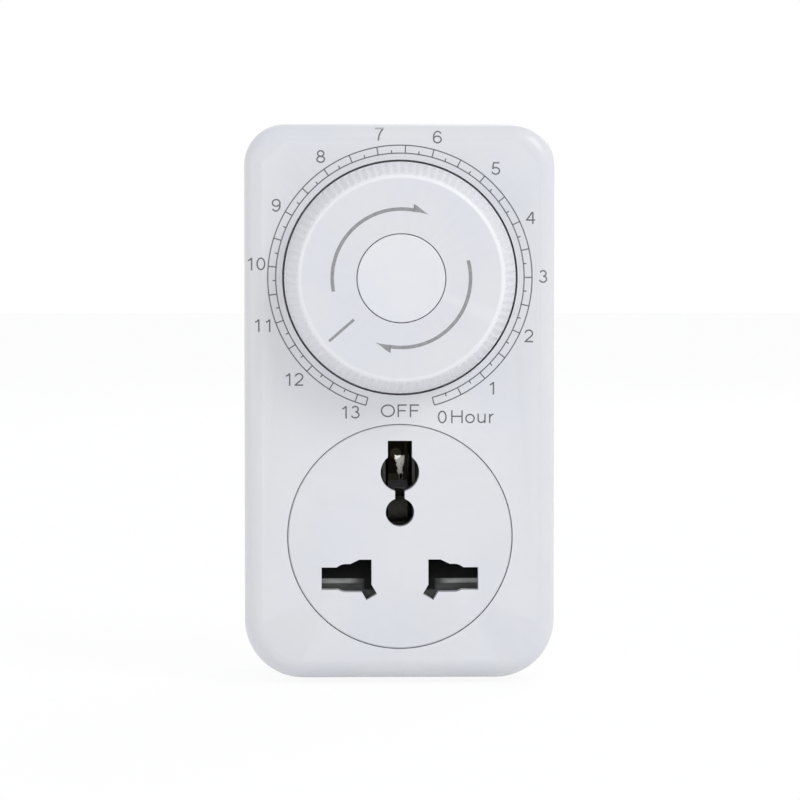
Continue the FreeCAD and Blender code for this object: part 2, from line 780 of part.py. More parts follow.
def lightened(wheel, x, z, y0, y1, hub_radius, rim_radius):
    middle = (y0 + y1) / 2
    front = ring(x, z, y0, middle - wheel_web / 2, rim_radius, hub_radius)
    back = ring(x, z, middle + wheel_web / 2, y1, rim_radius, hub_radius)
    return wheel.cut([front, back])


def main_wheel():
    y1 = main_y + main_wheel_thickness
    wheel = gear(main_teeth, 0, dial_z, main_y, y1, intermediate_direction)
    wheel = lightened(wheel, 0, dial_z, main_y, y1,
                      spindle_collar_radius + wheel_hub_margin, main_pitch - wheel_rim)
    return wheel.cut(rod(0, dial_z, main_y, y1, spindle_radius + running_clearance))


def clutch_spring():
    # Dished washer on the spindle that presses the main wheel against the collar.
    y0 = main_y + main_wheel_thickness + running_clearance
    y1 = y0 + clutch_dish + clutch_thickness
    outer = spindle_collar_radius
    washer = turned([(spindle_radius, y0 + clutch_dish), (outer, y0), (outer, y0 + clutch_thickness),
                     (spindle_radius, y1)])
    for i in range(clutch_slot_count):
        slot = box(outer - clutch_slot_depth, outer + overlap, y0, y1,
                   dial_z - clutch_slot_width / 2, dial_z + clutch_slot_width / 2)
        washer = washer.cut(turn(slot, 0, dial_z, 360 * i / clutch_slot_count))
    return washer


def intermediate_wheel():
    y1 = second_y + second_wheel_thickness
    wheel = gear(second_teeth, intermediate_x, intermediate_z, second_y, y1, motor_direction)
    wheel = lightened(wheel, intermediate_x, intermediate_z, second_y, y1,
                      pinion_pitch + wheel_hub_margin, second_pitch - wheel_rim)
    facing = intermediate_direction + 180 + 180 / pinion_teeth
    pinion = gear(pinion_teeth, intermediate_x, intermediate_z, main_y - layer_gap / 2, second_y, facing)
    bore = rod(intermediate_x, intermediate_z, main_y - layer_gap, y1, arbor_radius + running_clearance)
    return joined([wheel, pinion]).cut(bore)


def intermediate_arbor():
    return joined([rod(intermediate_x, intermediate_z, front_plate_y + arbor_end_inset,
                       motor_y - arbor_end_inset, arbor_radius),
                   rod(intermediate_x, intermediate_z, cam_y + cam_thickness + running_clearance,
                       main_y - layer_gap / 2 - running_clearance / 2, 2 * arbor_radius)])


def motor_pinion():
    facing = motor_direction + 180 + 180 / pinion_teeth
    pinion = gear(pinion_teeth, motor_x, motor_z, second_y, second_y + second_wheel_thickness, facing)
    end_y = gearbox_y() - pinion_collar_gap
    shaft = rod(motor_x, motor_z, second_y, end_y, arbor_radius)
    collar = rod(motor_x, motor_z, end_y - pinion_collar_thickness, end_y, 2 * arbor_radius)
    return joined([pinion, shaft, collar])


def pillar_places():
    return [(x, z) for x in (-pillar_x, pillar_x) for z in (pillar_bottom_z, pillar_top_z)]


def movement_plate(y0):
    y1 = y0 + plate_thickness
    plate = rounded_plate(plate_half, plate_bottom, plate_top, plate_corner, plate_corner, y0, y1)
    cuts = [rod(x, z, y0, y1, movement_screw_radius + screw_pass) for x, z in pillar_places()]
    cuts.append(rod(intermediate_x, intermediate_z, y0, y1, arbor_radius + running_clearance))
    return plate.cut(cuts)


def movement_front_plate():
    y1 = front_plate_y + plate_thickness
    plate = movement_plate(front_plate_y)
    rivets = [rod(x, switch_middle_z(), front_plate_y, y1, small_screw_radius) for x in switch_rivet_xs()]
    return plate.cut([rod(0, dial_z, front_plate_y, y1, spindle_radius + running_clearance)] + rivets)


def movement_rear_plate():
    plate = movement_plate(rear_plate_y)
    cuts = [rod(0, dial_z, rear_plate_y, motor_y, spindle_end_radius + running_clearance),
            rod(motor_x, motor_z, rear_plate_y, motor_y, 2 * arbor_radius)]
    for x in motor_ear_xs():
        cuts.append(rod(x, motor_z, rear_plate_y, motor_y, motor_rivet_radius))
    return plate.cut(cuts)


def movement_pillars():
    return [ring(x, z, front_plate_y + plate_thickness, rear_plate_y, pillar_radius,
                 movement_screw_radius + screw_pass) for x, z in pillar_places()]


def movement_screws():
    tip = front_plate_y - movement_screw_bite + screw_tip_room
    return [screw(x, z, motor_y, tip, movement_screw_radius, 2 * movement_screw_radius - screw_pass)
            for x, z in pillar_places()]


def motor_ear_xs():
    reach = motor_radius + motor_ear_radius - motor_ear_bite
    return (motor_x - reach, motor_x + reach)


def motor_can():
    can = rod(motor_x, motor_z, motor_y, motor_rear_y, motor_radius)
    can = can.makeFillet(can_edge_radius, edges_at(can, motor_rear_y))
    can = can.cut(rod(motor_x, motor_z, motor_y, motor_rear_y - motor_wall, motor_radius - motor_wall))
    ears = []
    for x in motor_ear_xs():
        inner = min(x, motor_x)
        outer = max(x, motor_x)
        ear = joined([rod(x, motor_z, motor_y, motor_y + motor_wall, motor_ear_radius),
                      box(inner, outer, motor_y, motor_y + motor_wall,
                          motor_z - motor_ear_radius, motor_z + motor_ear_radius)])
        ears.append(ear.cut(rod(motor_x, motor_z, motor_y, motor_y + motor_wall,
                                motor_radius - motor_wall / 2)))
    boss = rod(motor_x, motor_z, motor_rear_y - 2 * motor_wall, motor_rear_y - motor_wall,
               3 * rotor_shaft_radius)
    can = joined([can, boss] + ears)
    cuts = [rod(x, motor_z, motor_y, motor_y + motor_wall, motor_rivet_radius) for x in motor_ear_xs()]
    cuts.append(rod(motor_x, motor_z, motor_rear_y - 2 * motor_wall, motor_rear_y - bearing_skin,
                    rotor_shaft_radius + running_clearance))
    for direction in lead_directions:
        x, z = can_side(direction)
        cuts.append(upright_rod(x, lead_y(), z - motor_wall, z + 2 * motor_wall, lead_radius + screw_pass))
    return can.cut(cuts)


def can_side(direction):
    way = math.radians(direction)
    return motor_x + motor_radius * math.cos(way), motor_z + motor_radius * math.sin(way)


def motor_rivets():
    rivets = []
    for x in motor_ear_xs():
        shank = rod(x, motor_z, rear_plate_y, motor_y + motor_wall, motor_rivet_radius)
        head = rod(x, motor_z, motor_y + motor_wall, motor_y + 2 * motor_wall,
                   rivet_head_share * motor_rivet_radius)
        tail = rod(x, motor_z, rear_plate_y - layer_gap / 2, rear_plate_y,
                   rivet_tail_share * motor_rivet_radius)
        rivets.append(joined([shank, head, tail]))
    return rivets


def motor_lid():
    y0 = motor_y + lid_inset
    lid = rod(motor_x, motor_z, y0, y0 + motor_wall, motor_radius - motor_wall - lid_fit)
    neck = rod(motor_x, motor_z, motor_y - plate_thickness / 2, y0, 2 * arbor_radius - can_gap)
    return joined([lid, neck]).cut(rod(motor_x, motor_z, rear_plate_y, y0 + motor_wall,
                                       arbor_radius + running_clearance))


def gearbox_y():
    return motor_y + 2 * motor_wall + gearbox_room


def motor_bearing_plate():
    y0 = gearbox_y()
    plate = rod(motor_x, motor_z, y0, y0 + motor_wall, bobbin_bore + bobbin_wall)
    outer = motor_x + bobbin_bore + bobbin_wall
    legs = []
    for i in range(bearing_leg_count):
        leg = box(outer - bearing_leg_depth, outer, motor_y + lid_inset + motor_wall, y0,
                  motor_z - bearing_leg_width / 2, motor_z + bearing_leg_width / 2)
        legs.append(turn(leg, motor_x, motor_z, 360 * i / bearing_leg_count))
    bore = rod(motor_x, motor_z, y0, y0 + motor_wall, rotor_shaft_radius + running_clearance)
    return joined([plate] + legs).cut(bore)


def bobbin_ys():
    return gearbox_y() + motor_wall, motor_rear_y - motor_wall


def coil_bobbin():
    y0, y1 = bobbin_ys()
    outer = motor_radius - motor_wall - can_gap
    body = ring(motor_x, motor_z, y0, y1, outer, bobbin_bore)
    return body.cut(ring(motor_x, motor_z, y0 + bobbin_wall, y1 - bobbin_wall,
                         outer + overlap, bobbin_bore + bobbin_wall))


def motor_coil():
    y0, y1 = bobbin_ys()
    return ring(motor_x, motor_z, y0 + bobbin_wall, y1 - bobbin_wall,
                motor_radius - motor_wall - can_gap - coil_recess, bobbin_bore + bobbin_wall)


def stator_poles():
    y0, y1 = bobbin_ys()
    sleeve = ring(motor_x, motor_z, y0, y1, bobbin_bore, bobbin_bore - pole_thickness)
    cuts = []
    for i in range(pole_count):
        slot = box(motor_x + bobbin_bore - 2 * pole_thickness, motor_x + bobbin_bore + overlap,
                   y0 + pole_bridge, y1 - pole_bridge, motor_z - pole_gap / 2, motor_z + pole_gap / 2)
        lean = pole_lean if i % 2 == 0 else -pole_lean
        slot.translate(Vector(0, lean, 0))
        cuts.append(turn(slot, motor_x, motor_z, 360 * i / pole_count))
    return sleeve.cut(cuts)


def rotor_magnet():
    y0, y1 = bobbin_ys()
    body = rod(motor_x, motor_z, y0 + rotor_front_room, y1 - rotor_end_room, rotor_radius)
    return body.cut(rod(motor_x, motor_z, y0, y1, rotor_shaft_radius))


def rotor_shaft():
    return rod(motor_x, motor_z, gearbox_y() + running_clearance, motor_rear_y - rotor_shaft_inset,
               rotor_shaft_radius)


def switch_middle_z():
    return switch_top - rivet_drop


def switch_rivet_xs():
    return (rivet_inset - terminal_x, terminal_x - rivet_inset)


def switch_ys():
    y0 = front_plate_y + plate_thickness
    return y0, y0 + switch_thickness


def switch_body():
    y0, y1 = switch_ys()
    half = switch_length / 2
    block = box(-half, half, y0, y1 - switch_wall, switch_bottom, switch_top)
    hollow = box(switch_wall - half, half - switch_wall, y0 + switch_wall, y1,
                 switch_bottom + switch_wall, switch_top - switch_wall)
    posts = [rod(x, switch_middle_z(), y0, y1 - switch_wall, 2 * small_screw_radius)
             for x in switch_rivet_xs()]
    ear = joined([box(lever_pivot_x - lever_eye_radius, lever_pivot_x + lever_eye_radius,
                      y0, y0 + lever_ear_thickness, switch_top, lever_pivot_z()),
                  rod(lever_pivot_x, lever_pivot_z(), y0, y0 + lever_ear_thickness, lever_eye_radius),
                  rod(lever_pivot_x, lever_pivot_z(), y0, lever_end_y(), lever_pin_radius)])
    body = joined([block.cut(hollow)] + posts + [ear])
    cuts = [rod(x, switch_middle_z(), y0, y1, small_screw_radius) for x in switch_rivet_xs()]
    cuts.append(upright_rod(plunger_x, plunger_y(), switch_top - switch_wall, switch_top,
                            plunger_radius + running_clearance))
    for x in (-terminal_x, terminal_x):
        cuts.append(box(x - terminal_width / 2, x + terminal_width / 2, plunger_y() - terminal_thickness / 2,
                        plunger_y() + terminal_thickness / 2, switch_bottom, switch_bottom + switch_wall))
    return body.cut(cuts)


def switch_cover():
    y1 = switch_ys()[1]
    half = switch_length / 2
    cover = box(-half, half, y1 - switch_wall, y1, switch_bottom, switch_top)
    return cover.cut([rod(x, switch_middle_z(), y1 - switch_wall, y1, small_screw_radius)
                      for x in switch_rivet_xs()])


def switch_rivets():
    rivets = []
    y1 = switch_ys()[1]
    for x in switch_rivet_xs():
        shank = rod(x, switch_middle_z(), front_plate_y, y1, small_screw_radius)
        head = rod(x, switch_middle_z(), y1, y1 + rivet_head_height, rivet_head_share * small_screw_radius)
        rivets.append(joined([shank, head]))
    return rivets


def plunger_y():
    y0, y1 = switch_ys()
    return (y0 + y1) / 2


def lever_end_y():
    return cam_y + cam_thickness


def lever_pivot_z():
    return switch_top + lever_pivot_rise


def lever_under_z():
    return switch_top + lever_rise


def switch_lever():
    # Rides on the cam's rim with its nib and stands on the plunger.
    y0 = switch_ys()[0] + lever_ear_thickness + lever_gap
    y1 = lever_end_y()
    low = lever_under_z()
    strip = box(lever_pivot_x, lever_tip_x, y0, y1, low, low + lever_thickness)
    eye = rod(lever_pivot_x, lever_pivot_z(), y0, y1, lever_eye_radius)
    nib_z = dial_z - cam_radius - lever_gap - lever_nib_radius
    nib = joined([rod(0, nib_z, y0, y1, lever_nib_radius),
                  box(-lever_nib_radius, lever_nib_radius, y0, y1, low, nib_z)])
    bore = rod(lever_pivot_x, lever_pivot_z(), y0, y1, lever_pin_radius + running_clearance)
    return joined([strip, eye, nib]).cut(bore)


def switch_plunger():
    top = lever_under_z() - lever_gap
    stem = upright_rod(plunger_x, plunger_y(), top - plunger_length, top, plunger_radius)
    foot = upright_rod(plunger_x, plunger_y(), top - plunger_length,
                       switch_top - switch_wall - plunger_foot_gap, plunger_foot_radius)
    return joined([stem, foot])


def terminal_top_z():
    return switch_bottom + switch_wall + terminal_stand


def blade_under_z():
    return lever_under_z() - lever_gap - plunger_length - blade_drop - blade_thickness


def terminal_y():
    return plunger_y() - terminal_thickness / 2


def switch_terminal(side):
    x = side * terminal_x
    half = terminal_width / 2
    return box(x - half, x + half, terminal_y(), terminal_y() + terminal_thickness,
               switch_bottom - terminal_drop, terminal_top_z())


def switch_common_terminal():
    # Carries the moving blade up to the plunger's foot.
    half = blade_riser_width / 2
    low = blade_under_z()
    blade = box(-terminal_x - half, terminal_x + blade_end, terminal_y(),
                terminal_y() + 2 * terminal_thickness, low, low + blade_thickness)
    riser = box(-terminal_x - half, -terminal_x + half, terminal_y(), terminal_y() + terminal_thickness,
                terminal_top_z() - overlap, low + blade_thickness)
    return joined([switch_terminal(-1), blade, riser])


def switch_output_terminal():
    # The moving blade's end rests on this contact while the timer is running.
    half = output_riser_width / 2
    point_z = blade_under_z() - contact_point_height
    riser = box(terminal_x - half, terminal_x + half, terminal_y(), terminal_y() + terminal_thickness,
                terminal_top_z() - overlap, point_z)
    point = upright_rod(terminal_x, plunger_y(), point_z, blade_under_z(), contact_point_radius)
    return joined([switch_terminal(1), riser, point])


def outlet_face():
    disc = rod(0, outlet_z, face_y, outlet_back_y, outlet_radius)
    disc = disc.makeChamfer(edge_break, edges_at(disc, face_y))
    flange_y = inner_face_y + flange_seat_gap
    flange = rod(0, outlet_z, flange_y, outlet_back_y, outlet_radius + outlet_gap + outlet_flange)
    return joined([disc, flange]).cut(apertures(face_y, outlet_back_y))


def contact_carrier():
    plate = box(-carrier_half_width, carrier_half_width, carrier_y, pocket_y, carrier_bottom, carrier_top)
    parts = [plate]
    for side in (-1, 1):
        x = side * carrier_post_x
        parts.append(rod(x, carrier_post_z, carrier_y, pocket_y, carrier_post_radius))
        parts.append(box(min(0, x), max(0, x), carrier_y, pocket_y,
                         carrier_post_z - carrier_post_radius, carrier_post_z + carrier_post_radius))
        rail_in = shutter_half_width + rail_clearance
        low, high = sorted((side * rail_in, side * carrier_half_width))
        rail_top = shutter_top + rail_rise
        parts.append(box(low, high, outlet_back_y, carrier_y, shutter_bottom - shutter_travel, rail_top))
        stop_in = pin_x + pin_width / 2 + slot_end_clearance + stop_margin
        low, high = sorted((side * stop_in, side * carrier_half_width))
        parts.append(box(low, high, outlet_back_y, carrier_y, shutter_top + rail_clearance, rail_top))
    parts.append(box(-spring_seat_half_width, spring_seat_half_width, outlet_back_y, carrier_y,
                     carrier_bottom, carrier_bottom + spring_seat_thickness))
    for x0, x1, z0, z1 in pocket_boxes():
        parts.append(box(x0 - pocket_wall, x1 + pocket_wall, pocket_y, pocket_y + pocket_depth,
                         z0 - pocket_wall, z1 + pocket_wall))
    body = joined(parts)
    cuts = apertures(carrier_y, pocket_y)
    for x0, x1, z0, z1 in pocket_boxes():
        cuts.append(box(x0, x1, pocket_y, pocket_y + pocket_depth, z0, z1))
    for x in (-carrier_post_x, carrier_post_x):
        cuts.append(rod(x, carrier_post_z, carrier_y, pocket_y, small_screw_radius + screw_pass))
    return body.cut(cuts)


def pocket_boxes():
    # Inside of each contact's pocket: x0, x1, z0, z1.
    tall = contact_outer(pin_thickness) + contact_flare + pocket_clearance
    wide = contact_width / 2 + pocket_clearance
    earth_wide = contact_outer(earth_pin_width) + contact_flare + pocket_clearance
    return [(pin_x - wide, pin_x + wide, -tall, tall), (-pin_x - wide, wide - pin_x, -tall, tall),
            (-earth_wide, earth_wide, earth_contact_bottom() - pocket_clearance,
             earth_step_z + pocket_clearance)]


def contact_outer(pin):
    return pin / 2 + contact_grip + contact_thickness


def earth_contact_bottom():
    return earth_small_z - earth_small_radius + earth_contact_rise


def leaf(pin):
    # (y, across) outline of one leaf with a flared mouth that grips a pin of this thickness.
    inner = pin / 2 + contact_grip
    outer = inner + contact_thickness
    mouth = pocket_y + contact_mouth_inset
    flare_y = mouth + 2 * contact_flare
    return [(mouth, inner + contact_flare), (flare_y, inner), (contact_base_y, inner),
            (contact_base_y, outer), (flare_y, outer), (mouth, outer + contact_flare)]


def flat_contact(side):
    x0 = side * pin_x - contact_width / 2
    x1 = x0 + contact_width
    outer = contact_outer(pin_thickness)
    lower = [(y, -across) for y, across in leaf(pin_thickness)]
    base = box(x0, x1, contact_base_y - contact_thickness, contact_base_y, -outer, outer)
    fork = joined([prism_yz(leaf(pin_thickness), x0, x1), prism_yz(lower, x0, x1), base])
    return fork.cut(rivet_hole(side))


def earth_contact():
    # Two leaves joined over the pin and open at the rear, because the earth pin reaches past them.
    z0 = earth_contact_bottom()
    z1 = earth_step_z - contact_thickness
    outer = contact_outer(earth_pin_width)
    parts = []
    for side in (-1, 1):
        outline = [Vector(side * across, y, z0) for y, across in leaf(earth_pin_width)]
        parts.append(Part.Face(Part.makePolygon(outline + outline[:1])).extrude(Vector(0, 0, z1 - z0)))
    front_y = pocket_y + contact_mouth_inset + 2 * contact_flare
    parts.append(box(-outer, outer, front_y, contact_base_y, z1, earth_step_z))
    parts.append(box(-bar_width / 2, bar_width / 2, contact_base_y, contact_base_y + earth_tab_length,
                     z1, earth_step_z))
    return joined(parts).cut(earth_rivet_hole())


def rivet_hole(side):
    return rod(side * pin_x, 0, contact_base_y - contact_thickness, contact_base_y + bar_thickness,
               contact_rivet_radius)


def earth_rivet_hole():
    return upright_rod(0, contact_base_y + earth_tab_length / 2, earth_step_z - contact_thickness,
                       earth_step_z + bar_thickness, contact_rivet_radius)


def contact_rivets():
    # Hold the contacts to their bars.
    head_radius = rivet_head_share * contact_rivet_radius
    rivets = []
    for side in (-1, 1):
        front = contact_base_y - contact_thickness
        back = contact_base_y + bar_thickness
        rivets.append(joined([rivet_hole(side),
                              rod(side * pin_x, 0, front - contact_rivet_head, front, head_radius),
                              rod(side * pin_x, 0, back, back + contact_rivet_head, head_radius)]))
    y = contact_base_y + earth_tab_length / 2
    low = earth_step_z - contact_thickness
    high = earth_step_z + bar_thickness
    rivets.append(joined([earth_rivet_hole(),
                          upright_rod(0, y, low - contact_rivet_head, low, head_radius),
                          upright_rod(0, y, high, high + contact_rivet_head, head_radius)]))
    return rivets


def outlet_shutter():
    y1 = shutter_y + shutter_thickness
    half = shutter_half_width
    plate = box(-half, half, shutter_y, y1, shutter_bottom, shutter_top)
    lip_top = -pin_thickness / 2 - slot_side_clearance + shutter_lip
    ramp = [(shutter_y, lip_top), (shutter_y, shutter_top), (y1 - shutter_back, shutter_top)]
    cuts = []
    for side in (-1, 1):
        inner = blade_slot_x - blade_slot_width
        outer = pin_x + pin_width / 2 + slot_end_clearance + ramp_end_clearance
        low, high = sorted((side * inner, side * outer))
        cuts.append(prism_yz(ramp, low, high))
    cuts.append(upright_rod(0, spring_y(), shutter_bottom, shutter_bottom + spring_pocket,
                            spring_mean_radius + spring_wire / 2 + spring_side_gap))
    return plate.cut(cuts)


def spring_y():
    return shutter_y + shutter_thickness / 2


def shutter_spring():
    return coil_spring(0, spring_y(), carrier_bottom + spring_seat_thickness,
                       shutter_bottom + spring_pocket, spring_mean_radius, spring_wire, spring_turns)


def carrier_screws():
    return [screw(x, carrier_post_z, pocket_y, inner_face_y + screw_tip_room, small_screw_radius,
                  2 * small_screw_radius)
            for x in (-carrier_post_x, carrier_post_x)]


def pin_blank(half_x, half_z, x, z, length):
    y0 = head_y
    shank = box(x - half_x, x + half_x, inner_rear_y, length, z - half_z, z + half_z)
    shank = shank.makeChamfer(pin_tip_chamfer, edges_at(shank, length))
    head = box(x - half_x - pin_head_margin, x + half_x + pin_head_margin, y0, inner_rear_y,
               z - half_z - pin_head_margin, z + half_z + pin_head_margin)
    tail = rod(x, z, y0 - bar_thickness, y0, pin_tail_radius)
    return joined([shank, head, tail])


def sleeve_space(side):
    x = side * pin_x
    half_x = pin_width / 2
    half_z = pin_thickness / 2
    outer = box(x - half_x, x + half_x, inner_rear_y, sleeve_length, -half_z, half_z)
    core = box(x - half_x + pin_neck, x + half_x - pin_neck, inner_rear_y, sleeve_length,
               pin_neck - half_z, half_z - pin_neck)
    return outer.cut(core)


def live_pin(side):
    blank = pin_blank(pin_width / 2, pin_thickness / 2, side * pin_x, 0, pin_length)
    return blank.cut(sleeve_space(side))


def earth_pin():
    return pin_blank(earth_pin_width / 2, earth_pin_height / 2, 0, earth_rise, earth_pin_length)


def pin_clamp():
    # Holds the line and neutral pins down on the rear cover.
    y1 = head_y - bar_thickness
    y0 = y1 - clamp_thickness
    plate = box(-clamp_half_width, clamp_half_width, y0, y1, -clamp_half_height, clamp_half_height)
    cuts = [rod(x, 0, y0, y1, small_screw_radius + screw_pass) for x in (-clamp_screw_x, clamp_screw_x)]
    return plate.cut(cuts)


def clamp_screws():
    y0 = head_y - bar_thickness - clamp_thickness
    screws = []
    for x in (-clamp_screw_x, clamp_screw_x):
        made = screw(x, 0, 0, -(clamp_thickness + rear_wall), small_screw_radius, 2 * small_screw_radius)
        made.rotate(Vector(x, 0, 0), Vector(0, 0, 1), 180)
        made.translate(Vector(0, y0, 0))
        screws.append(made)
    return screws


def step_bar(x0, x1, z_low, z_step, y_far, z_far):
    # Stands on a pin's head, steps forward at z_step and ends flat at y_far.
    y_near = head_y - bar_thickness
    t = bar_thickness
    if z_far > z_step:
        outline = [(head_y, z_low), (head_y, z_step + t), (y_far + t, z_step + t), (y_far + t, z_far),
                   (y_far, z_far), (y_far, z_step), (y_near, z_step), (y_near, z_low)]
    else:
        outline = [(head_y, z_low), (head_y, z_step + t), (y_far, z_step + t), (y_far, z_far),
                   (y_far + t, z_far), (y_far + t, z_step), (y_near, z_step), (y_near, z_low)]
    return prism_yz(outline, x0, x1)


def bar_step_z():
    return clamp_half_height + clamp_gap


def tail_hole(x, z):
    return rod(x, z, head_y - bar_thickness, head_y, pin_tail_radius)


def fuse_clip(x):
    # Two leaves on a base, open towards the rear.
    half = bar_width / 2
    inner = fuse_radius + fuse_clip_gap
    outer = inner + fuse_clip_thickness
    base = box(x - half, x + half, fuse_base_y, fuse_base_y + fuse_clip_thickness,
               fuse_z - outer, fuse_z + outer)
    tip_y = fuse_y + fuse_clip_reach
    leaves = [box(x - half, x + half, fuse_base_y, tip_y, fuse_z + inner, fuse_z + outer),
              box(x - half, x + half, fuse_base_y, tip_y, fuse_z - outer, fuse_z - inner)]
    return joined([base] + leaves)


def clip_x():
    return fuse_length / 2 - bar_width / 2 - fuse_clip_inset


def line_inlet_bar():
    x = pin_x
    low = fuse_z - fuse_radius - fuse_clip_gap - fuse_clip_thickness
    bar = step_bar(x - bar_width / 2, x + bar_width / 2, -pin_thickness / 2, bar_step_z(),
                   fuse_base_y, low + overlap)
    return joined([bar.cut(tail_hole(x, 0)), fuse_clip(clip_x())])


def neutral_bar():
    bar = step_bar(-pin_x - bar_width / 2, bar_width / 2 - pin_x, -pin_thickness / 2, bar_step_z(),
                   contact_base_y, -pin_thickness / 2)
    return bar.cut([tail_hole(-pin_x, 0), rivet_hole(-1)])


def earth_bar():
    # Stands on the pin's head and runs forward over the contact's tab.
    low = earth_rise - earth_pin_height / 2
    top = earth_step_z + bar_thickness
    near = head_y - bar_thickness
    far = contact_base_y + bar_end_gap
    bar = prism_yz([(head_y, low), (head_y, top), (far, top), (far, earth_step_z), (near, earth_step_z),
                    (near, low)], -bar_width / 2, bar_width / 2)
    return bar.cut([tail_hole(0, earth_rise), earth_rivet_hole()])


def bar_top_z():
    return carrier_top + bar_rise


def terminal_bar(side, y_low, z_low):
    # Runs up behind the carrier, forward over its top and on to the switch terminal.
    t = bar_thickness
    top = bar_top_z()
    y_front = plunger_y() + terminal_thickness / 2
    end_z = switch_bottom - bar_end_gap
    outline = [(y_low, z_low), (y_low + t, z_low), (y_low + t, top + t), (y_front + t, top + t),
               (y_front + t, end_z), (y_front, end_z), (y_front, top), (y_low, top)]
    x = side * (pin_x - outer_bar_inset)
    inner, outer = sorted((side * (terminal_x - terminal_width / 2), x + side * bar_width / 2))
    return prism_yz(outline, inner, outer)


def switch_feed_bar():
    bar = terminal_bar(-1, fuse_base_y, fuse_z + fuse_radius)
    return joined([bar, fuse_clip(-clip_x())])


def switch_output_bar():
    return terminal_bar(1, contact_base_y, -pin_thickness / 2).cut(rivet_hole(1))


def fuse_body():
    return Part.makeCylinder(fuse_radius - fuse_cap_thickness, fuse_length - 2 * fuse_cap_thickness,
                             Vector(fuse_cap_thickness - fuse_length / 2, fuse_y, fuse_z), Vector(1, 0, 0))


def fuse_caps():
    caps = []
    for start, way in ((-fuse_length / 2, 1), (fuse_length / 2, -1)):
        cap = Part.makeCylinder(fuse_radius, fuse_cap_length, Vector(start, fuse_y, fuse_z),
                                Vector(way, 0, 0))
        caps.append(cap.cut(fuse_body()))
    return caps


def fuse_carrier():
    # Cover plate flush with the rear face, with two grips round the fuse.
    cover = box(-fuse_cover_half_width, fuse_cover_half_width, -fuse_cover_thickness, 0,
                fuse_z - fuse_cover_half_height, fuse_z + fuse_cover_half_height)
    parts = [cover]
    inner = fuse_radius - fuse_cap_thickness
    outer = fuse_cover_half_height
    for x in (-fuse_grip_x, fuse_grip_x):
        x0 = x - fuse_grip_width / 2
        parts.append(box(x0, x0 + fuse_grip_width, fuse_y - grip_reach, -fuse_cover_thickness,
                         fuse_z - outer, fuse_z + outer))
    notch = upright_rod(fuse_cover_half_width, pull_notch_offset, fuse_z - fuse_cover_half_height,
                        fuse_z + fuse_cover_half_height, pull_notch_radius)
    bore = Part.makeCylinder(inner + grip_clearance, 2 * fuse_cover_half_width,
                             Vector(-fuse_cover_half_width, fuse_y, fuse_z), Vector(1, 0, 0))
    mouth_half = grip_mouth_share * inner
    mouth = box(-fuse_cover_half_width, fuse_cover_half_width, fuse_y - fuse_radius, fuse_y,
                fuse_z - mouth_half, fuse_z + mouth_half)
    return joined(parts).cut([notch, bore, mouth])


def lead_y():
    return contact_base_y + bar_thickness / 2


def lead_route(start, corner, route):
    # Points at shares of the way across and down from start to corner.
    x0, z0 = start
    x1, z1 = corner
    return [(x0 + (x1 - x0) * across, lead_y(), z0 + (z1 - z0) * down) for across, down in route]


def motor_neutral_lead():
    end_x = -pin_x - bar_width / 2
    end_z = bar_step_z() - lead_bar_drop
    corner = (lead_wall_room - inner_half, end_z)
    route = lead_route(can_side(lead_directions[0]), corner, neutral_lead_route)
    return lead(route + [(end_x, lead_y(), end_z)], lead_radius)


def motor_line_lead():
    corner = (pin_x - lead_bar_inset, bar_top_z() + bar_thickness)
    return lead(lead_route(can_side(lead_directions[1]), corner, line_lead_route), lead_radius)


def build():
    return {
        "front_cover": front_cover(), "rear_cover": rear_cover(), "case_screws": case_screws(),
        "dial_knob": dial_knob(), "knob_cap": knob_cap(), "knob_screw": knob_screw(),
        "spindle": spindle(), "switch_cam": switch_cam(), "main_wheel": main_wheel(),
        "clutch_spring": clutch_spring(), "intermediate_wheel": intermediate_wheel(),
        "intermediate_arbor": intermediate_arbor(), "motor_pinion": motor_pinion(),
        "movement_front_plate": movement_front_plate(), "movement_rear_plate": movement_rear_plate(),
        "movement_pillars": movement_pillars(), "movement_screws": movement_screws(),
        "motor_can": motor_can(), "motor_rivets": motor_rivets(), "motor_lid": motor_lid(),
        "motor_bearing_plate": motor_bearing_plate(), "coil_bobbin": coil_bobbin(),
        "motor_coil": motor_coil(), "stator_poles": stator_poles(), "rotor_magnet": rotor_magnet(),
        "rotor_shaft": rotor_shaft(), "switch_body": switch_body(), "switch_cover": switch_cover(),
        "switch_rivets": switch_rivets(), "switch_lever": switch_lever(),
        "switch_plunger": switch_plunger(), "switch_common_terminal": switch_common_terminal(),
        "switch_output_terminal": switch_output_terminal(), "outlet_face": outlet_face(),
        "contact_carrier": contact_carrier(), "carrier_screws": carrier_screws(),
        "outlet_shutter": outlet_shutter(), "shutter_spring": shutter_spring(),
        "line_contact": flat_contact(1), "neutral_contact": flat_contact(-1),
        "earth_contact": earth_contact(), "contact_rivets": contact_rivets(),
        "line_pin": live_pin(1), "neutral_pin": live_pin(-1),
        "earth_pin": earth_pin(), "line_pin_sleeve": sleeve_space(1),
        "neutral_pin_sleeve": sleeve_space(-1), "pin_clamp": pin_clamp(),
        "clamp_screws": clamp_screws(), "line_inlet_bar": line_inlet_bar(),
        "neutral_bar": neutral_bar(), "earth_bar": earth_bar(), "switch_feed_bar": switch_feed_bar(),
        "switch_output_bar": switch_output_bar(), "fuse_body": fuse_body(), "fuse_caps": fuse_caps(),
        "fuse_carrier": fuse_carrier(), "motor_neutral_lead": motor_neutral_lead(),
        "motor_line_lead": motor_line_lead(),
    }


os.makedirs("parts", exist_ok=True)
for node, shape in build().items():
    if isinstance(shape, list):
        shape = Part.makeCompound(shape)
    shape.exportStep("parts/" + node + ".step")
    print(node, "solids", len(shape.Solids), "volume", round(shape.Volume, 1), "valid", shape.isValid())
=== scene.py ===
import json
import math

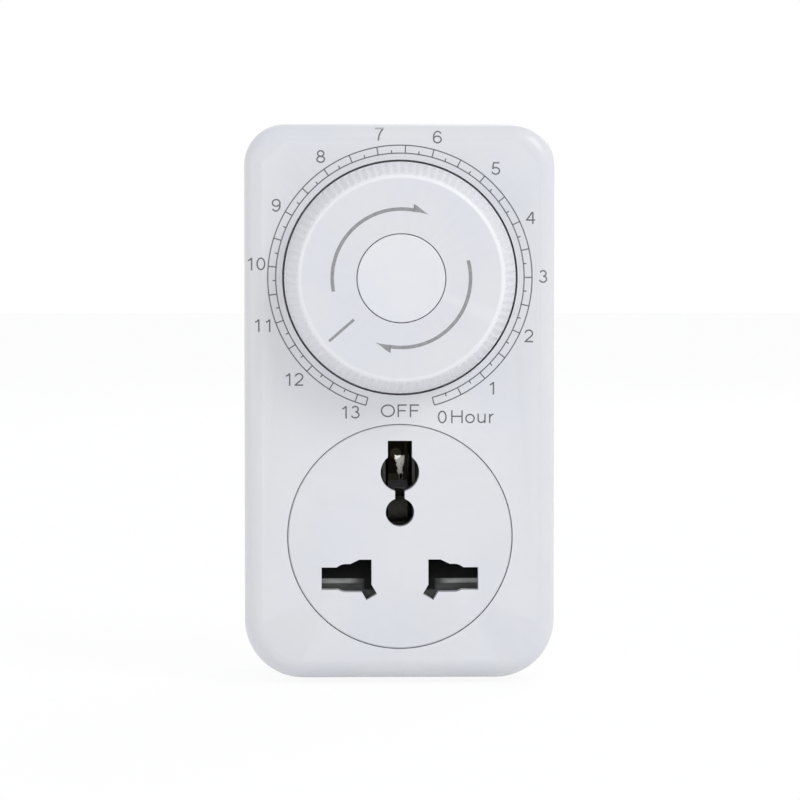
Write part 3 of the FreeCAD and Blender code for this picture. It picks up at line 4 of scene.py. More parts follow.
import bpy
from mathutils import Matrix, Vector
from mathutils.bvhtree import BVHTree


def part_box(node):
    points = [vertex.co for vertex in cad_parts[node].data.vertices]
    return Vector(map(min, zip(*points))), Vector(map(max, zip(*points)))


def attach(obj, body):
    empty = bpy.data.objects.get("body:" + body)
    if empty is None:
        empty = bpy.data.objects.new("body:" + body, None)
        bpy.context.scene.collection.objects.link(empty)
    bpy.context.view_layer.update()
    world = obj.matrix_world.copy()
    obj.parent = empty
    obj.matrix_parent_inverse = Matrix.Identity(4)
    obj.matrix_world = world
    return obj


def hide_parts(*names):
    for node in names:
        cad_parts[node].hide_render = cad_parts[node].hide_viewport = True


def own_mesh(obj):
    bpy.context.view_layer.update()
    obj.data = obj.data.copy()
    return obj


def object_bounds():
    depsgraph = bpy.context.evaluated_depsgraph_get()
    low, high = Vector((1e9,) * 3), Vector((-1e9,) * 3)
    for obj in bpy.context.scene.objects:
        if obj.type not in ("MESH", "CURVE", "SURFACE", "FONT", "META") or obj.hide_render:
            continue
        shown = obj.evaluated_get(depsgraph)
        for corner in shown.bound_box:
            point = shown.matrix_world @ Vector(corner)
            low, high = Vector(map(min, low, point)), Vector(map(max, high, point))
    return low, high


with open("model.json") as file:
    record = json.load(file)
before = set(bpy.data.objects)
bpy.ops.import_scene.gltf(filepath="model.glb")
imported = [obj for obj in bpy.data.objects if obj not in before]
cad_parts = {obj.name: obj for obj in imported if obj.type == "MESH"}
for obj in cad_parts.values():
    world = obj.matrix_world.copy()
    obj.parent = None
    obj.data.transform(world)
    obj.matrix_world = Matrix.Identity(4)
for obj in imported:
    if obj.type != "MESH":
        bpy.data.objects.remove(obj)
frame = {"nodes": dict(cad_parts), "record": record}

# Visual model of the plug in timer switch: a finish for every CAD node, the printed scale,
# numbers and marks, a coil for the shutter's spring, and the studio.
# Lengths are metres. X is to the right seen from the front, Y towards the wall and Z up, from the
# point of the wall plane that is midway between the line and neutral pins.

MM = 0.001
CAD_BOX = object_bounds()
KNOB_LOW, KNOB_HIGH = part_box("dial_knob")
DIAL_X = (KNOB_LOW.x + KNOB_HIGH.x) / 2
DIAL_Z = (KNOB_LOW.z + KNOB_HIGH.z) / 2
KNOB_TOP_Y = KNOB_LOW.y
FACE_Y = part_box("front_cover")[0].y

# A Mix node has many sockets of the same name. These are its factor and the ones for colours.
MIX_FACTOR, MIX_FIRST, MIX_SECOND = 0, 6, 7
MIX_RESULT = 2
NOISE_MIDDLE = 0.5
RISING = (0.0, 1.0)
FALLING = (1.0, 0.0)


def feed(tree, socket, value):
    """Links a signal or a socket to a socket, or sets the socket to a plain value."""
    if isinstance(value, Signal):
        value = value.socket
    if isinstance(value, bpy.types.NodeSocket):
        tree.links.new(value, socket)
    else:
        socket.default_value = value


def add_node(tree, kind, settings=None, inputs=None):
    """Adds a node: first its settings, then the values or links of its sockets."""
    made = tree.nodes.new(kind)
    for name, value in (settings or {}).items():
        setattr(made, name, value)
    for key, value in (inputs or {}).items():
        feed(tree, made.inputs[key], value)
    return made


class Signal:
    """A number that varies over a surface; sums and products of signals add Math nodes."""

    def __init__(self, tree, socket):
        self.tree = tree
        self.socket = socket

    def combined(self, operation, first, second):
        made = add_node(self.tree, "ShaderNodeMath", {"operation": operation},
                        {0: first, 1: second})
        return Signal(self.tree, made.outputs[0])

    def __add__(self, other):
        return self.combined("ADD", self, other)

    __radd__ = __add__

    def __sub__(self, other):
        return self.combined("SUBTRACT", self, other)

    def __rsub__(self, other):
        return self.combined("SUBTRACT", other, self)

    def __mul__(self, other):
        return self.combined("MULTIPLY", self, other)

    __rmul__ = __mul__

    def __pow__(self, other):
        return self.combined("POWER", self, other)

    def __rpow__(self, other):
        return self.combined("POWER", other, self)

    def or_higher(self, other):
        return self.combined("MAXIMUM", self, other)

    def ramp(self, limits, values=RISING):
        """Runs between two values as the signal runs between its limits, and is level beyond."""
        made = add_node(self.tree, "ShaderNodeMapRange", {"clamp": True},
                        {"Value": self, "From Min": limits[0], "From Max": limits[1],
                         "To Min": values[0], "To Max": values[1]})
        return Signal(self.tree, made.outputs[0])

    def swing(self, amount):
        """A noise as a number that varies by the amount about 0."""
        return (self - NOISE_MIDDLE) * amount


class Finish:
    """One node material with a Principled shader."""

    def __init__(self, name, **constants):
        self.material = bpy.data.materials.new(name)
        self.material.use_nodes = True
        self.tree = self.material.node_tree
        self.shader = self.tree.nodes["Principled BSDF"]
        self.place = add_node(self.tree, "ShaderNodeTexCoord").outputs["Object"]
        for socket, value in constants.items():
            self.shader.inputs[socket.replace("_", " ")].default_value = value

    def noise(self, size, detail=2.0, stretch=(1, 1, 1)):
        """Noise between 0 and 1 with blotches of about the given size."""
        scaled = add_node(self.tree, "ShaderNodeMapping", {"vector_type": "POINT"},
                          {"Vector": self.place, "Scale": stretch})
        made = add_node(self.tree, "ShaderNodeTexNoise", None,
                        {"Vector": scaled.outputs[0], "Scale": 1 / size, "Detail": detail})
        return Signal(self.tree, made.outputs[0])

    def position(self):
        """Where a point is, as three signals."""
        made = add_node(self.tree, "ShaderNodeSeparateXYZ", None, {0: self.place})
        return [Signal(self.tree, made.outputs[axis]) for axis in range(3)]

    def blend(self, factor, first, second):
        """A mix of two colours, each of them three numbers or a socket."""
        first, second = (c + (1,) if isinstance(c, tuple) else c for c in (first, second))
        made = add_node(self.tree, "ShaderNodeMix", {"data_type": "RGBA"},
                        {MIX_FACTOR: factor, MIX_FIRST: first, MIX_SECOND: second})
        return made.outputs[MIX_RESULT]

    def colour(self, value):
        feed(self.tree, self.shader.inputs["Base Color"], value)
        return self

    def overlay(self, share, colour):
        """Lays a colour over the one that is there."""
        below = self.shader.inputs["Base Color"].links[0].from_socket
        return self.colour(self.blend(share, below, colour))

    def roughness(self, value):
        feed(self.tree, self.shader.inputs["Roughness"], value)
        return self

    def bump(self, height, depth):
        made = add_node(self.tree, "ShaderNodeBump", None, {"Height": height, "Distance": depth})
        feed(self.tree, self.shader.inputs["Normal"], made.outputs[0])
        return self

    def worn(self):
        """0 on flat places and 1 on outside edges and corners."""
        pointiness = add_node(self.tree, "ShaderNodeNewGeometry").outputs["Pointiness"]
        return Signal(self.tree, pointiness).ramp(OUTSIDE_EDGE)


def scaled_colour(colour, factor, lift=0.0):
    return tuple(min(1.0, c * factor + lift) for c in colour)


OUTSIDE_EDGE = (0.52, 0.60)      # pointiness, from flat to a rounded edge
EDGE_WEAR = 0.5
RUBBED_PALER, RUBBED_LIFT = 1.06, 0.01
PLASTIC_GRAIN = 0.35 * MM
PLASTIC_RELIEF = 0.012 * MM
PLASTIC_TINT = 0.03              # how far the colour drifts to cooler and to warmer
SPECK_RATIO = 3                  # size of the glossier specks to the size of the grain
DRIFT_SIZE = 20 * MM
DRIFT_LIMITS = (0.35, 0.65)
BRUSH_SIZE = 0.8 * MM
BRUSH_RELIEF = 0.008 * MM
PATCH_SIZE = 6 * MM
PATCH_LIMITS = (0.40, 0.75)
PATCH_DARKER = 0.75
INK_GRAIN = 0.4 * MM
INK_LIMITS = (0.35, 0.70)
INK_THIN_PALER = 1.25
INK_ROUGHNESS = 0.5
INK_RELIEF = 0.004 * MM
FLECK_SIZE = 0.9 * MM
FLECK_LIMITS = (0.40, 0.70)
GLAZE_PALE = (0.80, 0.77, 0.70)
GLAZE_FLECK = (0.68, 0.64, 0.56)
GLAZE_ROUGHNESS = 0.45
GLAZE_RELIEF = 0.02 * MM
WIRE_BANDS = 900.0               # scale of the bands of wire on the motor's bobbin
WIRE_UNEVEN = 0.4
WIRE_RELIEF = 0.06 * MM
WIRE_SHADED = (0.30, 0.10, 0.035)
WIRE_LIT = (0.72, 0.33, 0.14)

# How much each noise varies the roughness.
SPECK_SWING = 0.10
DRIFT_SWING = 0.08
BRUSH_SWING = 0.18
PATCH_SWING = 0.12
INK_SWING = 0.10
FLECK_SWING = 0.20


def moulded_plastic(name, colour, roughness, grain=PLASTIC_GRAIN, depth=PLASTIC_RELIEF,
                    tint=PLASTIC_TINT):
    """Injection moulded plastic: spark eroded grain, slow colour drift, paler rubbed edges."""
    finish = Finish(name, IOR=1.5)
    drift = finish.noise(DRIFT_SIZE, detail=3.0)
    speck = finish.noise(grain * SPECK_RATIO)
    red, green, blue = colour
    cool = (red * (1 - tint), green * (1 - tint), blue)
    warm = (red, green, blue * (1 - tint))
    body = finish.blend(drift.ramp(DRIFT_LIMITS), cool, warm)
    rubbed = scaled_colour(colour, RUBBED_PALER, RUBBED_LIFT)
    finish.colour(finish.blend(finish.worn() * EDGE_WEAR, body, rubbed))
    finish.roughness(speck.swing(SPECK_SWING) + drift.swing(DRIFT_SWING) + roughness)
    return finish.bump(finish.noise(grain), depth)


def metal(name, colour, roughness, brush, size=BRUSH_SIZE, depth=BRUSH_RELIEF):
    """Bare or plated metal with fine marks along one direction and duller patches."""
    finish = Finish(name, Metallic=1.0)
    marks = finish.noise(size, detail=1.0, stretch=brush)
    patch = finish.noise(PATCH_SIZE, detail=3.0)
    dark = scaled_colour(colour, PATCH_DARKER)
    finish.colour(finish.blend(patch.ramp(PATCH_LIMITS), colour, dark))
    finish.roughness(marks.swing(BRUSH_SWING) + patch.swing(PATCH_SWING) + roughness)
    return finish.bump(marks, depth)


def printed_ink(name, colour):
    """Pad printed ink, a little paler where it is thin."""
    finish = Finish(name, IOR=1.45)
    grain = finish.noise(INK_GRAIN)
    thin = scaled_colour(colour, INK_THIN_PALER)
    finish.colour(finish.blend(grain.ramp(INK_LIMITS), colour, thin))
    finish.roughness(grain.swing(INK_SWING) + INK_ROUGHNESS)
    return finish.bump(grain, INK_RELIEF)


def wound_wire(name):
    """Enamelled copper wire in close turns round the motor's bobbin."""
    finish = Finish(name, Metallic=1.0, Roughness=0.32)
    turns = add_node(finish.tree, "ShaderNodeTexWave",
                     {"wave_type": "BANDS", "bands_direction": "Y"},
                     {"Vector": finish.place, "Scale": WIRE_BANDS, "Distortion": WIRE_UNEVEN})
    wave = Signal(finish.tree, turns.outputs[1])
    finish.colour(finish.blend(wave, WIRE_SHADED, WIRE_LIT))
    return finish.bump(wave, WIRE_RELIEF)


def glazed_ceramic(name):
    """Off white glaze with darker flecks, for the fuse's body."""
    finish = Finish(name, IOR=1.52)
    fleck = finish.noise(FLECK_SIZE, detail=3.0)
    finish.colour(finish.blend(fleck.ramp(FLECK_LIMITS), GLAZE_PALE, GLAZE_FLECK))
    finish.roughness(fleck.swing(FLECK_SWING) + GLAZE_ROUGHNESS)
    return finish.bump(fleck, GLAZE_RELIEF)


# Where painted light, painted shade and painted highlights lie. A pair is where the finish begins
# to change and where it has changed.
# Fronts, mouths and insides are depths along Y. Ends, tops, feet and heights are along Z.
KNOB_WHITE = (0.735, 0.737, 0.765)
KNOB_ROUGHNESS = 0.36
KNOB_FLANK = (19.60 * MM, 19.80 * MM)        # distance from the dial's axis
# Painted light: a paler colour for the knob's flank, which stands in shade.
KNOB_FLANK_PAINTED_LIGHT = (0.79, 0.795, 0.82)
KNOB_RIM = (18.65 * MM, 19.00 * MM)          # distance from the dial's axis
KNOB_RIM_DEPTH = (KNOB_TOP_Y + 0.9 * MM, KNOB_TOP_Y + 1.4 * MM)
# Painted highlight on the rounded edge of the knob's rim.
KNOB_RIM_PAINTED_HIGHLIGHT = (0.83, 0.833, 0.855)


def knob_with_painted_light(name):
    """Knob plastic, with painted light on the ribbed flank and a painted highlight round the rim.
    """
    finish = moulded_plastic(name, KNOB_WHITE, KNOB_ROUGHNESS)
    across, depth, up = finish.position()
    radius = ((across - DIAL_X) ** 2 + (up - DIAL_Z) ** 2) ** 0.5
    # Painted light on the flank.
    finish.overlay(radius.ramp(KNOB_FLANK), KNOB_FLANK_PAINTED_LIGHT)
    # Painted highlight round the rim, near the knob's top.
    rim_highlight = radius.ramp(KNOB_RIM) * depth.ramp(KNOB_RIM_DEPTH, FALLING)
    return finish.overlay(rim_highlight, KNOB_RIM_PAINTED_HIGHLIGHT)


SHUTTER_BLACK = (0.003, 0.003, 0.0033)
SHUTTER_ROUGHNESS = 0.6
SHUTTER_GLOSS = 0.12
SHUTTER_FRONT = (-30.5 * MM, -30.3 * MM)
LEG_END = (-2.6 * MM, -2.2 * MM)
LIP_TOP = (-0.35 * MM, -0.15 * MM)
LIP_SIDE = (6.6 * MM, 7.2 * MM)              # distance from the middle
STRIP_FOOT = (-1.25 * MM, -0.95 * MM)
STRIP_SIDE = (7.6 * MM, 9.6 * MM)            # distance from the middle
LIGHT_PATCH_SIZE = 1.1 * MM
LIGHT_PATCH_LIMITS = (0.30, 0.70)
LIGHT_PATCH_SHARES = (0.5, 1.0)
LIGHT_PATCH_STRETCH = (0.3, 1, 1)      # longer along X
# Grey painted light on the end of the leg and on the lip, and a paler painted highlight along the
# lip's upper edge.
LEG_PAINTED_LIGHT = (0.11, 0.11, 0.105)
LIP_PAINTED_LIGHT = (0.090, 0.090, 0.087)
STRIP_PAINTED_HIGHLIGHT = (0.40, 0.40, 0.385)


def shutter_with_painted_light(name):
    """Black shutter with grey painted light on its lip and the end of its leg, and a painted
    highlight along the lip's upper edge.
    """
    finish = moulded_plastic(name, SHUTTER_BLACK, SHUTTER_ROUGHNESS, tint=0.0)
    finish.shader.inputs["Specular IOR Level"].default_value = SHUTTER_GLOSS
    across, depth, up = finish.position()
    side = (across * across) ** 0.5
    light_patches = finish.noise(LIGHT_PATCH_SIZE, detail=3.0, stretch=LIGHT_PATCH_STRETCH)
    lit_front = depth.ramp(SHUTTER_FRONT, FALLING) * light_patches.ramp(LIGHT_PATCH_LIMITS, LIGHT_PATCH_SHARES)
    leg_end = up.ramp(LEG_END, FALLING)
    lip = up.ramp(LIP_TOP, FALLING) * side.ramp(LIP_SIDE)
    strip = up.ramp(STRIP_FOOT) * side.ramp(STRIP_SIDE) * lip
    # Painted light and a painted highlight, made patchy by noise, on the front of the shutter.
    finish.overlay(leg_end * lit_front, LEG_PAINTED_LIGHT)
    finish.overlay(lip * lit_front, LIP_PAINTED_LIGHT)
    return finish.overlay(strip * lit_front, STRIP_PAINTED_HIGHLIGHT)


# Painted shade: the contacts' nickel is made dark, as it looks deep in the slots.
CONTACT_PAINTED_SHADE = (0.040, 0.039, 0.036)
CONTACT_ROUGHNESS = 0.42
CONTACT_MOUTH = (-25.9 * MM, -25.2 * MM)
MOUTH_PAINTED_HIGHLIGHT = (0.16, 0.155, 0.145)
MOUTH_HIGHLIGHT_SHARE = 0.5


def contact_painted_shade(name):
    """Nickel plated spring metal, darkened all over by painted shade, with a faint painted
    highlight at its mouth.
    """
    finish = metal(name, CONTACT_PAINTED_SHADE, CONTACT_ROUGHNESS, brush=(1, 6, 1))
    depth = finish.position()[1]
    # Painted highlight at the mouth.
    return finish.overlay(depth.ramp(CONTACT_MOUTH, FALLING) * MOUTH_HIGHLIGHT_SHARE, MOUTH_PAINTED_HIGHLIGHT)


INSIDE_CASE = (-3.2 * MM, -2.8 * MM)         # where the pins come out of the case
# Painted shade for metal deep inside the case.
DEEP_PAINTED_SHADE = (0.030, 0.026, 0.018)
EARTH_BAR_ROUGHNESS = 0.45
STREAK_HEIGHTS = (15.6 * MM, 21.8 * MM)
STREAK_HALF_WIDTHS = (0.0, 1.15 * MM)        # at its foot and at its top
STREAK_MIDDLES = (1.10 * MM, 0.75 * MM)      # X at its foot and at its top
STREAK_SHARES = (0.3, 1.0)                   # how much of it shows at its foot and at its top
STREAK_EDGE = (0.0, 0.2 * MM)
STREAK_TOP_EDGE = 0.15 * MM
RAGGED_SIZE = 0.9 * MM
RAGGED_LIMITS = (0.30, 0.70)
RAGGED_REACH = (-0.2 * MM, 0.2 * MM)
# Colour of the painted glint.
STREAK_PAINTED_GLINT = (0.80, 0.79, 0.75)
STREAK_SMOOTHER = 0.2
PIN_BRASS = (0.80, 0.61, 0.30)
PIN_ROUGHNESS = 0.22
GLINT_PIN_ROUGHNESS = 0.24
PIN_BRUSH_SIZE = 0.6 * MM
PIN_BRUSH_RELIEF = 0.004 * MM


def painted_glint_streak(finish, roughness):
    """A painted glint: a bright streak, tapering downwards, on the metal inside the case."""
    across, depth, up = finish.position()
    top = STREAK_HEIGHTS[1]
    ragged = finish.noise(RAGGED_SIZE, detail=3.0).ramp(RAGGED_LIMITS, RAGGED_REACH)
    aside = ((across - up.ramp(STREAK_HEIGHTS, STREAK_MIDDLES)) ** 2) ** 0.5
    streak = (up.ramp(STREAK_HEIGHTS, STREAK_HALF_WIDTHS) - aside + ragged).ramp(STREAK_EDGE)
    below_top = (up + ragged).ramp((top, top + STREAK_TOP_EDGE), FALLING)
    bright = streak * below_top * depth.ramp(INSIDE_CASE, FALLING)
    # Painted glint laid over the metal.
    finish.overlay(bright * up.ramp(STREAK_HEIGHTS, STREAK_SHARES), STREAK_PAINTED_GLINT)
    return finish.roughness(bright * -STREAK_SMOOTHER + roughness)


def earth_bar_painted_shade(name):
    """Brass earth bar, darkened by painted shade, with the painted glint on it."""
    finish = metal(name, DEEP_PAINTED_SHADE, EARTH_BAR_ROUGHNESS, brush=(1, 1, 6))
    return painted_glint_streak(finish, EARTH_BAR_ROUGHNESS)


def polished_pin(name, with_glint=False):
    """Brass plug pin, polished outside the case and darkened by painted shade inside it."""
    finish = metal(name, PIN_BRASS, PIN_ROUGHNESS, (1, 8, 1), PIN_BRUSH_SIZE, PIN_BRUSH_RELIEF)
    # Painted shade on the pin inside the case.
    finish.overlay(finish.position()[1].ramp(INSIDE_CASE, FALLING), DEEP_PAINTED_SHADE)
    return painted_glint_streak(finish, GLINT_PIN_ROUGHNESS) if with_glint else finish


FINISHES = {
    "shell": moulded_plastic("satin_white_shell", (0.720, 0.725, 0.750), 0.34),
    "knob": knob_with_painted_light("satin_white_knob"),
    "cap": moulded_plastic("polished_white_cap", (0.78, 0.785, 0.81), 0.24, depth=0.006 * MM),
    "black": moulded_plastic("black_moulding", (0.010, 0.010, 0.011), 0.42, tint=0.0),
    "shutter": shutter_with_painted_light("black_shutter_painted_light"),
    "contact": contact_painted_shade("nickel_painted_shade"),
    "earth_bar": earth_bar_painted_shade("earth_brass_painted_shade"),
    "grey": moulded_plastic("grey_moulding", (0.26, 0.27, 0.28), 0.5),
    "acetal": moulded_plastic("natural_acetal", (0.72, 0.70, 0.62), 0.4),
    "brass": metal("stamped_brass", (0.76, 0.56, 0.26), 0.34, brush=(1, 1, 6)),
    "pin": polished_pin("polished_brass_pin"),
    "earth_pin": polished_pin("polished_earth_pin", with_glint=True),
    "plated": metal("nickel_plate", (0.70, 0.69, 0.66), 0.26, brush=(1, 6, 1)),
    "steel": metal("zinc_plated_steel", (0.56, 0.57, 0.60), 0.36, brush=(6, 1, 1)),
    "magnet": moulded_plastic("sintered_magnet", (0.06, 0.06, 0.065), 0.6,
                              grain=0.6 * MM, depth=0.03 * MM),
    "coil": wound_wire("enamelled_copper"),
    "ceramic": glazed_ceramic("fuse_ceramic"),
    "blue_lead": moulded_plastic("blue_insulation", (0.03, 0.06, 0.30), 0.45),
    "brown_lead": moulded_plastic("brown_insulation", (0.10, 0.035, 0.012), 0.45),
    "face_ink": printed_ink("grey_face_ink", (0.135, 0.135, 0.14)),
    "mark_ink": printed_ink("pale_grey_mark_ink", (0.27, 0.27, 0.275)),
}

# The nodes of each finish. All others are steel.
FINISH_NODES = {
    "shell": ("front_cover", "rear_cover", "outlet_face"),
    "knob": ("dial_knob",),
    "cap": ("knob_cap",),
    "black": ("contact_carrier", "line_pin_sleeve", "neutral_pin_sleeve", "switch_body",
              "switch_cover", "fuse_carrier"),
    "shutter": ("outlet_shutter",),
    "grey": ("pin_clamp", "motor_bearing_plate"),
    "acetal": ("spindle", "switch_cam", "main_wheel", "intermediate_wheel", "coil_bobbin",
               "switch_plunger"),
    "brass": ("line_contact", "neutral_contact", "line_inlet_bar", "neutral_bar",
              "switch_feed_bar", "switch_output_bar", "switch_common_terminal",
              "switch_output_terminal", "movement_pillars"),
    "contact": ("earth_contact", "contact_rivets"),
    "earth_bar": ("earth_bar",),
    "pin": ("line_pin", "neutral_pin"),
    "earth_pin": ("earth_pin",),
    "plated": ("fuse_caps",),
    "magnet": ("rotor_magnet",),
    "coil": ("motor_coil",),
    "ceramic": ("fuse_body",),
    "blue_lead": ("motor_neutral_lead",),
    "brown_lead": ("motor_line_lead",),
}


def dress_frame():
    """Gives every CAD node its finish."""
    dressed = {node: finish for finish, nodes in FINISH_NODES.items() for node in nodes}
    for node, piece in frame["nodes"].items():
        piece.data.materials.clear()
        piece.data.materials.append(FINISHES[dressed.get(node, "steel")].material)


def new_object(name, data):
    made = bpy.data.objects.new(name, data)
    bpy.context.scene.collection.objects.link(made)
    return made


def new_mesh_object(name, vertices, faces, material):
    mesh = bpy.data.meshes.new(name)
    mesh.from_pydata(vertices, [], faces)
    mesh.materials.append(material)
    return new_object(name, mesh)


SPRING_WIRE = 0.3 * MM
SPRING_TURNS = 9
SPRING_STEPS = 24                # sections in a turn
WIRE_CORNERS = 8


def shutter_coil():
    """The shutter's spring as a coil on its seat in the case."""
    low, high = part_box("shutter_spring")
    seat = Vector(((low.x + high.x) / 2, (low.y + high.y) / 2, low.z))
    upward = Vector((0, 0, 1))
    wire_radius = SPRING_WIRE / 2
    coil_radius = (high.x - low.x) / 2 - wire_radius
    rise = high.z - low.z - SPRING_WIRE
    sections = SPRING_TURNS * SPRING_STEPS
    corners = []
    for section in range(sections + 1):
        turned = 2 * math.pi * section / SPRING_STEPS
        outward = Vector((math.cos(turned), math.sin(turned), 0))
        height = wire_radius + rise * section / sections
        centre = seat + outward * coil_radius + upward * height
        for corner in range(WIRE_CORNERS):
            angle = 2 * math.pi * corner / WIRE_CORNERS
            corners.append(centre + outward * (wire_radius * math.cos(angle))
                           + upward * (wire_radius * math.sin(angle)))
    last = sections * WIRE_CORNERS
    faces = [tuple(range(WIRE_CORNERS)), tuple(range(last + WIRE_CORNERS - 1, last - 1, -1))]
    for first in range(0, last, WIRE_CORNERS):
        for corner in range(WIRE_CORNERS):
            here = first + corner
            beside = first + (corner + 1) % WIRE_CORNERS
            faces.append((here, here + WIRE_CORNERS, beside + WIRE_CORNERS, beside))
    coil = new_mesh_object("shutter_coil", corners, faces, FINISHES["steel"].material)
    coil.data.shade_smooth()
    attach(coil, "case")
    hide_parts("shutter_spring")
    travel = next(joint["range_m"][1] for joint in frame["record"]["behaviour"]["joints"]
                  if joint["name"] == "shutter_slide")
    1 - travel / (high.z - low.z)
    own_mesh(coil)


# Printed marks. Directions are degrees from +X towards +Z, as seen from the front.
INK_THICKNESS = 0.015 * MM
INK_STEP = 0.001 * MM            # between strokes that cross
INK_LEVELS = 3
INK_PITCH = 0.2 * MM             # longest straight stretch, so that ink follows rounded edges
PRINTED_DEPTH = 5.0 * MM         # how far back from the front a rounded edge is looked for
RAY_CLEARANCE = 1.0 * MM
SHARPEST_CORNER = 0.5            # limits how far the outside of a sharp bend reaches
ARC_STEP = 2.0
SCALE_INNER = 23.62 * MM
SCALE_OUTER = 25.13 * MM
SCALE_LINE = 0.22 * MM
SHORT_TICK = 0.40                # share of the band
TICKS_AN_HOUR = 4
ZERO_DIRECTION = 285.1
HOUR_STEP = 25.0
HOURS = 13
SCALE_END = 255.0 + 360
MARK_RADIUS = 13.0 * MM
MARK_LINE = 0.66 * MM
BARB_RADIUS = 14.2 * MM
BARB_LEAN = 1.0                  # how far behind the neck the barb's point lies
BARB_HOLLOW = 1.2
ARROWHEAD_SWEEP = 12.7
ARROW_STEPS = 40
ARROWHEAD_STEPS = 4
ARROWS = ((191.0, 66.8), (15.0, -112.0))     # tail and tip of each
POINTER_DIRECTION = 221.0
POINTER_REACH = (11.8 * MM, 18.0 * MM)
POINTER_LINE = 0.52 * MM


def around(radius, direction):
    """The point of the front at a radius and a direction from the dial's axis."""
    way = math.radians(direction)
    return DIAL_X + radius * math.cos(way), DIAL_Z + radius * math.sin(way)


class PrintedPlate:
    """Outlines of ink laid on the front of a CAD node, all in one piece."""

    def __init__(self, node):
        self.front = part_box(node)[0].y
        mesh = frame["nodes"][node].data
        self.tree = BVHTree.FromPolygons([corner.co for corner in mesh.vertices],
                                         [face.vertices for face in mesh.polygons])
        self.vertices = []
        self.faces = []
        self.strokes = 0

    def surface(self, x, z):
        """How far back the printed surface is at a point of the front."""
        start = Vector((x, self.front - RAY_CLEARANCE, z))
        hit = self.tree.ray_cast(start, Vector((0, 1, 0)), PRINTED_DEPTH + RAY_CLEARANCE)[0]
        return hit.y if hit else self.front

    def strip(self, left, right, closed=False):
        """Ink between two rows of (x, z) points."""
        start = len(self.vertices)
        proud = INK_THICKNESS - INK_STEP * (self.strokes % INK_LEVELS)
        self.strokes += 1
        for near, far in zip(left, right):
            for raised in (-proud, INK_THICKNESS):
                for x, z in (near, far):
                    self.vertices.append((x, self.surface(x, z) + raised, z))
        count = len(left)
        for i in range(count if closed else count - 1):
            a = start + 4 * i
            b = start + 4 * ((i + 1) % count)
            self.faces += [(a, a + 1, b + 1, b), (a + 2, b + 2, b + 3, a + 3),
                           (a, b, b + 2, a + 2), (a + 1, a + 3, b + 3, b + 1)]
        if not closed:
            b = start + 4 * (count - 1)
            self.faces += [(start + 1, start, start + 2, start + 3), (b, b + 1, b + 3, b + 2)]

    def line(self, points, width):
        """A line of even width through the points, closed where the last is the first."""
        closed = points[0] == points[-1]
        corners = [Vector(point) for point in points]
        dense = []
        for start, end in zip(corners, corners[1:]):
            steps = max(1, math.ceil((end - start).length / INK_PITCH))
            dense += [start.lerp(end, step / steps) for step in range(steps)]
        if not closed:
            dense.append(corners[-1])
        left, right = [], []
        for i, point in enumerate(dense):
            before = dense[i - 1] if closed or i else point
            after = dense[(i + 1) % len(dense)] if closed or i + 1 < len(dense) else point
            arriving = (point - before).normalized()
            leaving = (after - point).normalized()
            way = (arriving + leaving).normalized()
            bend = max(SHARPEST_CORNER, way.dot(leaving if leaving.length else arriving))
            side = Vector((-way.y, way.x)) * (width / 2 / bend)
            left.append(point + side)
            right.append(point - side)
        self.strip(left, right, closed)

    def arc(self, radius, width, first, last):
        """A line round the dial's axis from one direction to another."""
        steps = round(abs(last - first) / ARC_STEP)
        self.line([around(radius, first + (last - first) * i / steps)
                   for i in range(steps + 1)], width)

    def spoke(self, direction, inner, outer, width):
        """A line that points away from the dial's axis."""
        self.line([around(inner, direction), around(outer, direction)], width)

    def turning_arrow(self, tail, tip):
        """A clockwise arc that ends in half an arrowhead on its outer side."""
        neck = tip + ARROWHEAD_SWEEP
        inner, outer = MARK_RADIUS - MARK_LINE / 2, MARK_RADIUS + MARK_LINE / 2
        directions = [tail + (neck - tail) * i / ARROW_STEPS for i in range(ARROW_STEPS + 1)]
        inside = [around(inner, direction) for direction in directions + [neck]]
        outside = [around(outer, direction) for direction in directions]
        outside.append(around(BARB_RADIUS, neck + BARB_LEAN))
        for i in range(1, ARROWHEAD_STEPS + 1):
            share = i / ARROWHEAD_STEPS
            direction = neck + (tip - neck) * share
            low = MARK_RADIUS - MARK_LINE / 2 * (1 - share)
            high = low + (BARB_RADIUS - low) * (1 - share) ** BARB_HOLLOW
            inside.append(around(low, direction))
            outside.append(around(high, direction))
        self.strip(outside, inside)

    def made(self, name, body, finish):
        """All the ink so far as one piece on a body."""
        piece = new_mesh_object(name, self.vertices, self.faces, FINISHES[finish].material)
        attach(piece, body)


def dial_scale():
    """Two arcs with a tick at each quarter of an hour, which is short at quarter past and to."""
    plate = PrintedPlate("front_cover")
    plate.arc(SCALE_INNER, SCALE_LINE, ZERO_DIRECTION, SCALE_END)
    plate.arc(SCALE_OUTER, SCALE_LINE, ZERO_DIRECTION, SCALE_END)
    band = SCALE_OUTER - SCALE_INNER
    for tick in range(TICKS_AN_HOUR * HOURS + 1):
        direction = ZERO_DIRECTION + HOUR_STEP * tick / TICKS_AN_HOUR
        reach = band if tick % 2 == 0 else band * SHORT_TICK
        plate.spoke(direction, SCALE_INNER, SCALE_INNER + reach, SCALE_LINE)
    plate.spoke(SCALE_END, SCALE_INNER, SCALE_OUTER, SCALE_LINE)
    plate.made("dial_scale", "case", "face_ink")


def knob_marks():
    """The arrows that show which way the knob turns, and the line that points at the scale."""
    plate = PrintedPlate("dial_knob")
    for tail, tip in ARROWS:
        plate.turning_arrow(tail, tip)
    plate.spoke(POINTER_DIRECTION, *POINTER_REACH, POINTER_LINE)
    plate.made("knob_marks", "dial", "mark_ink")


BOWL_STEP = 12                   # degrees between the points of a bowl


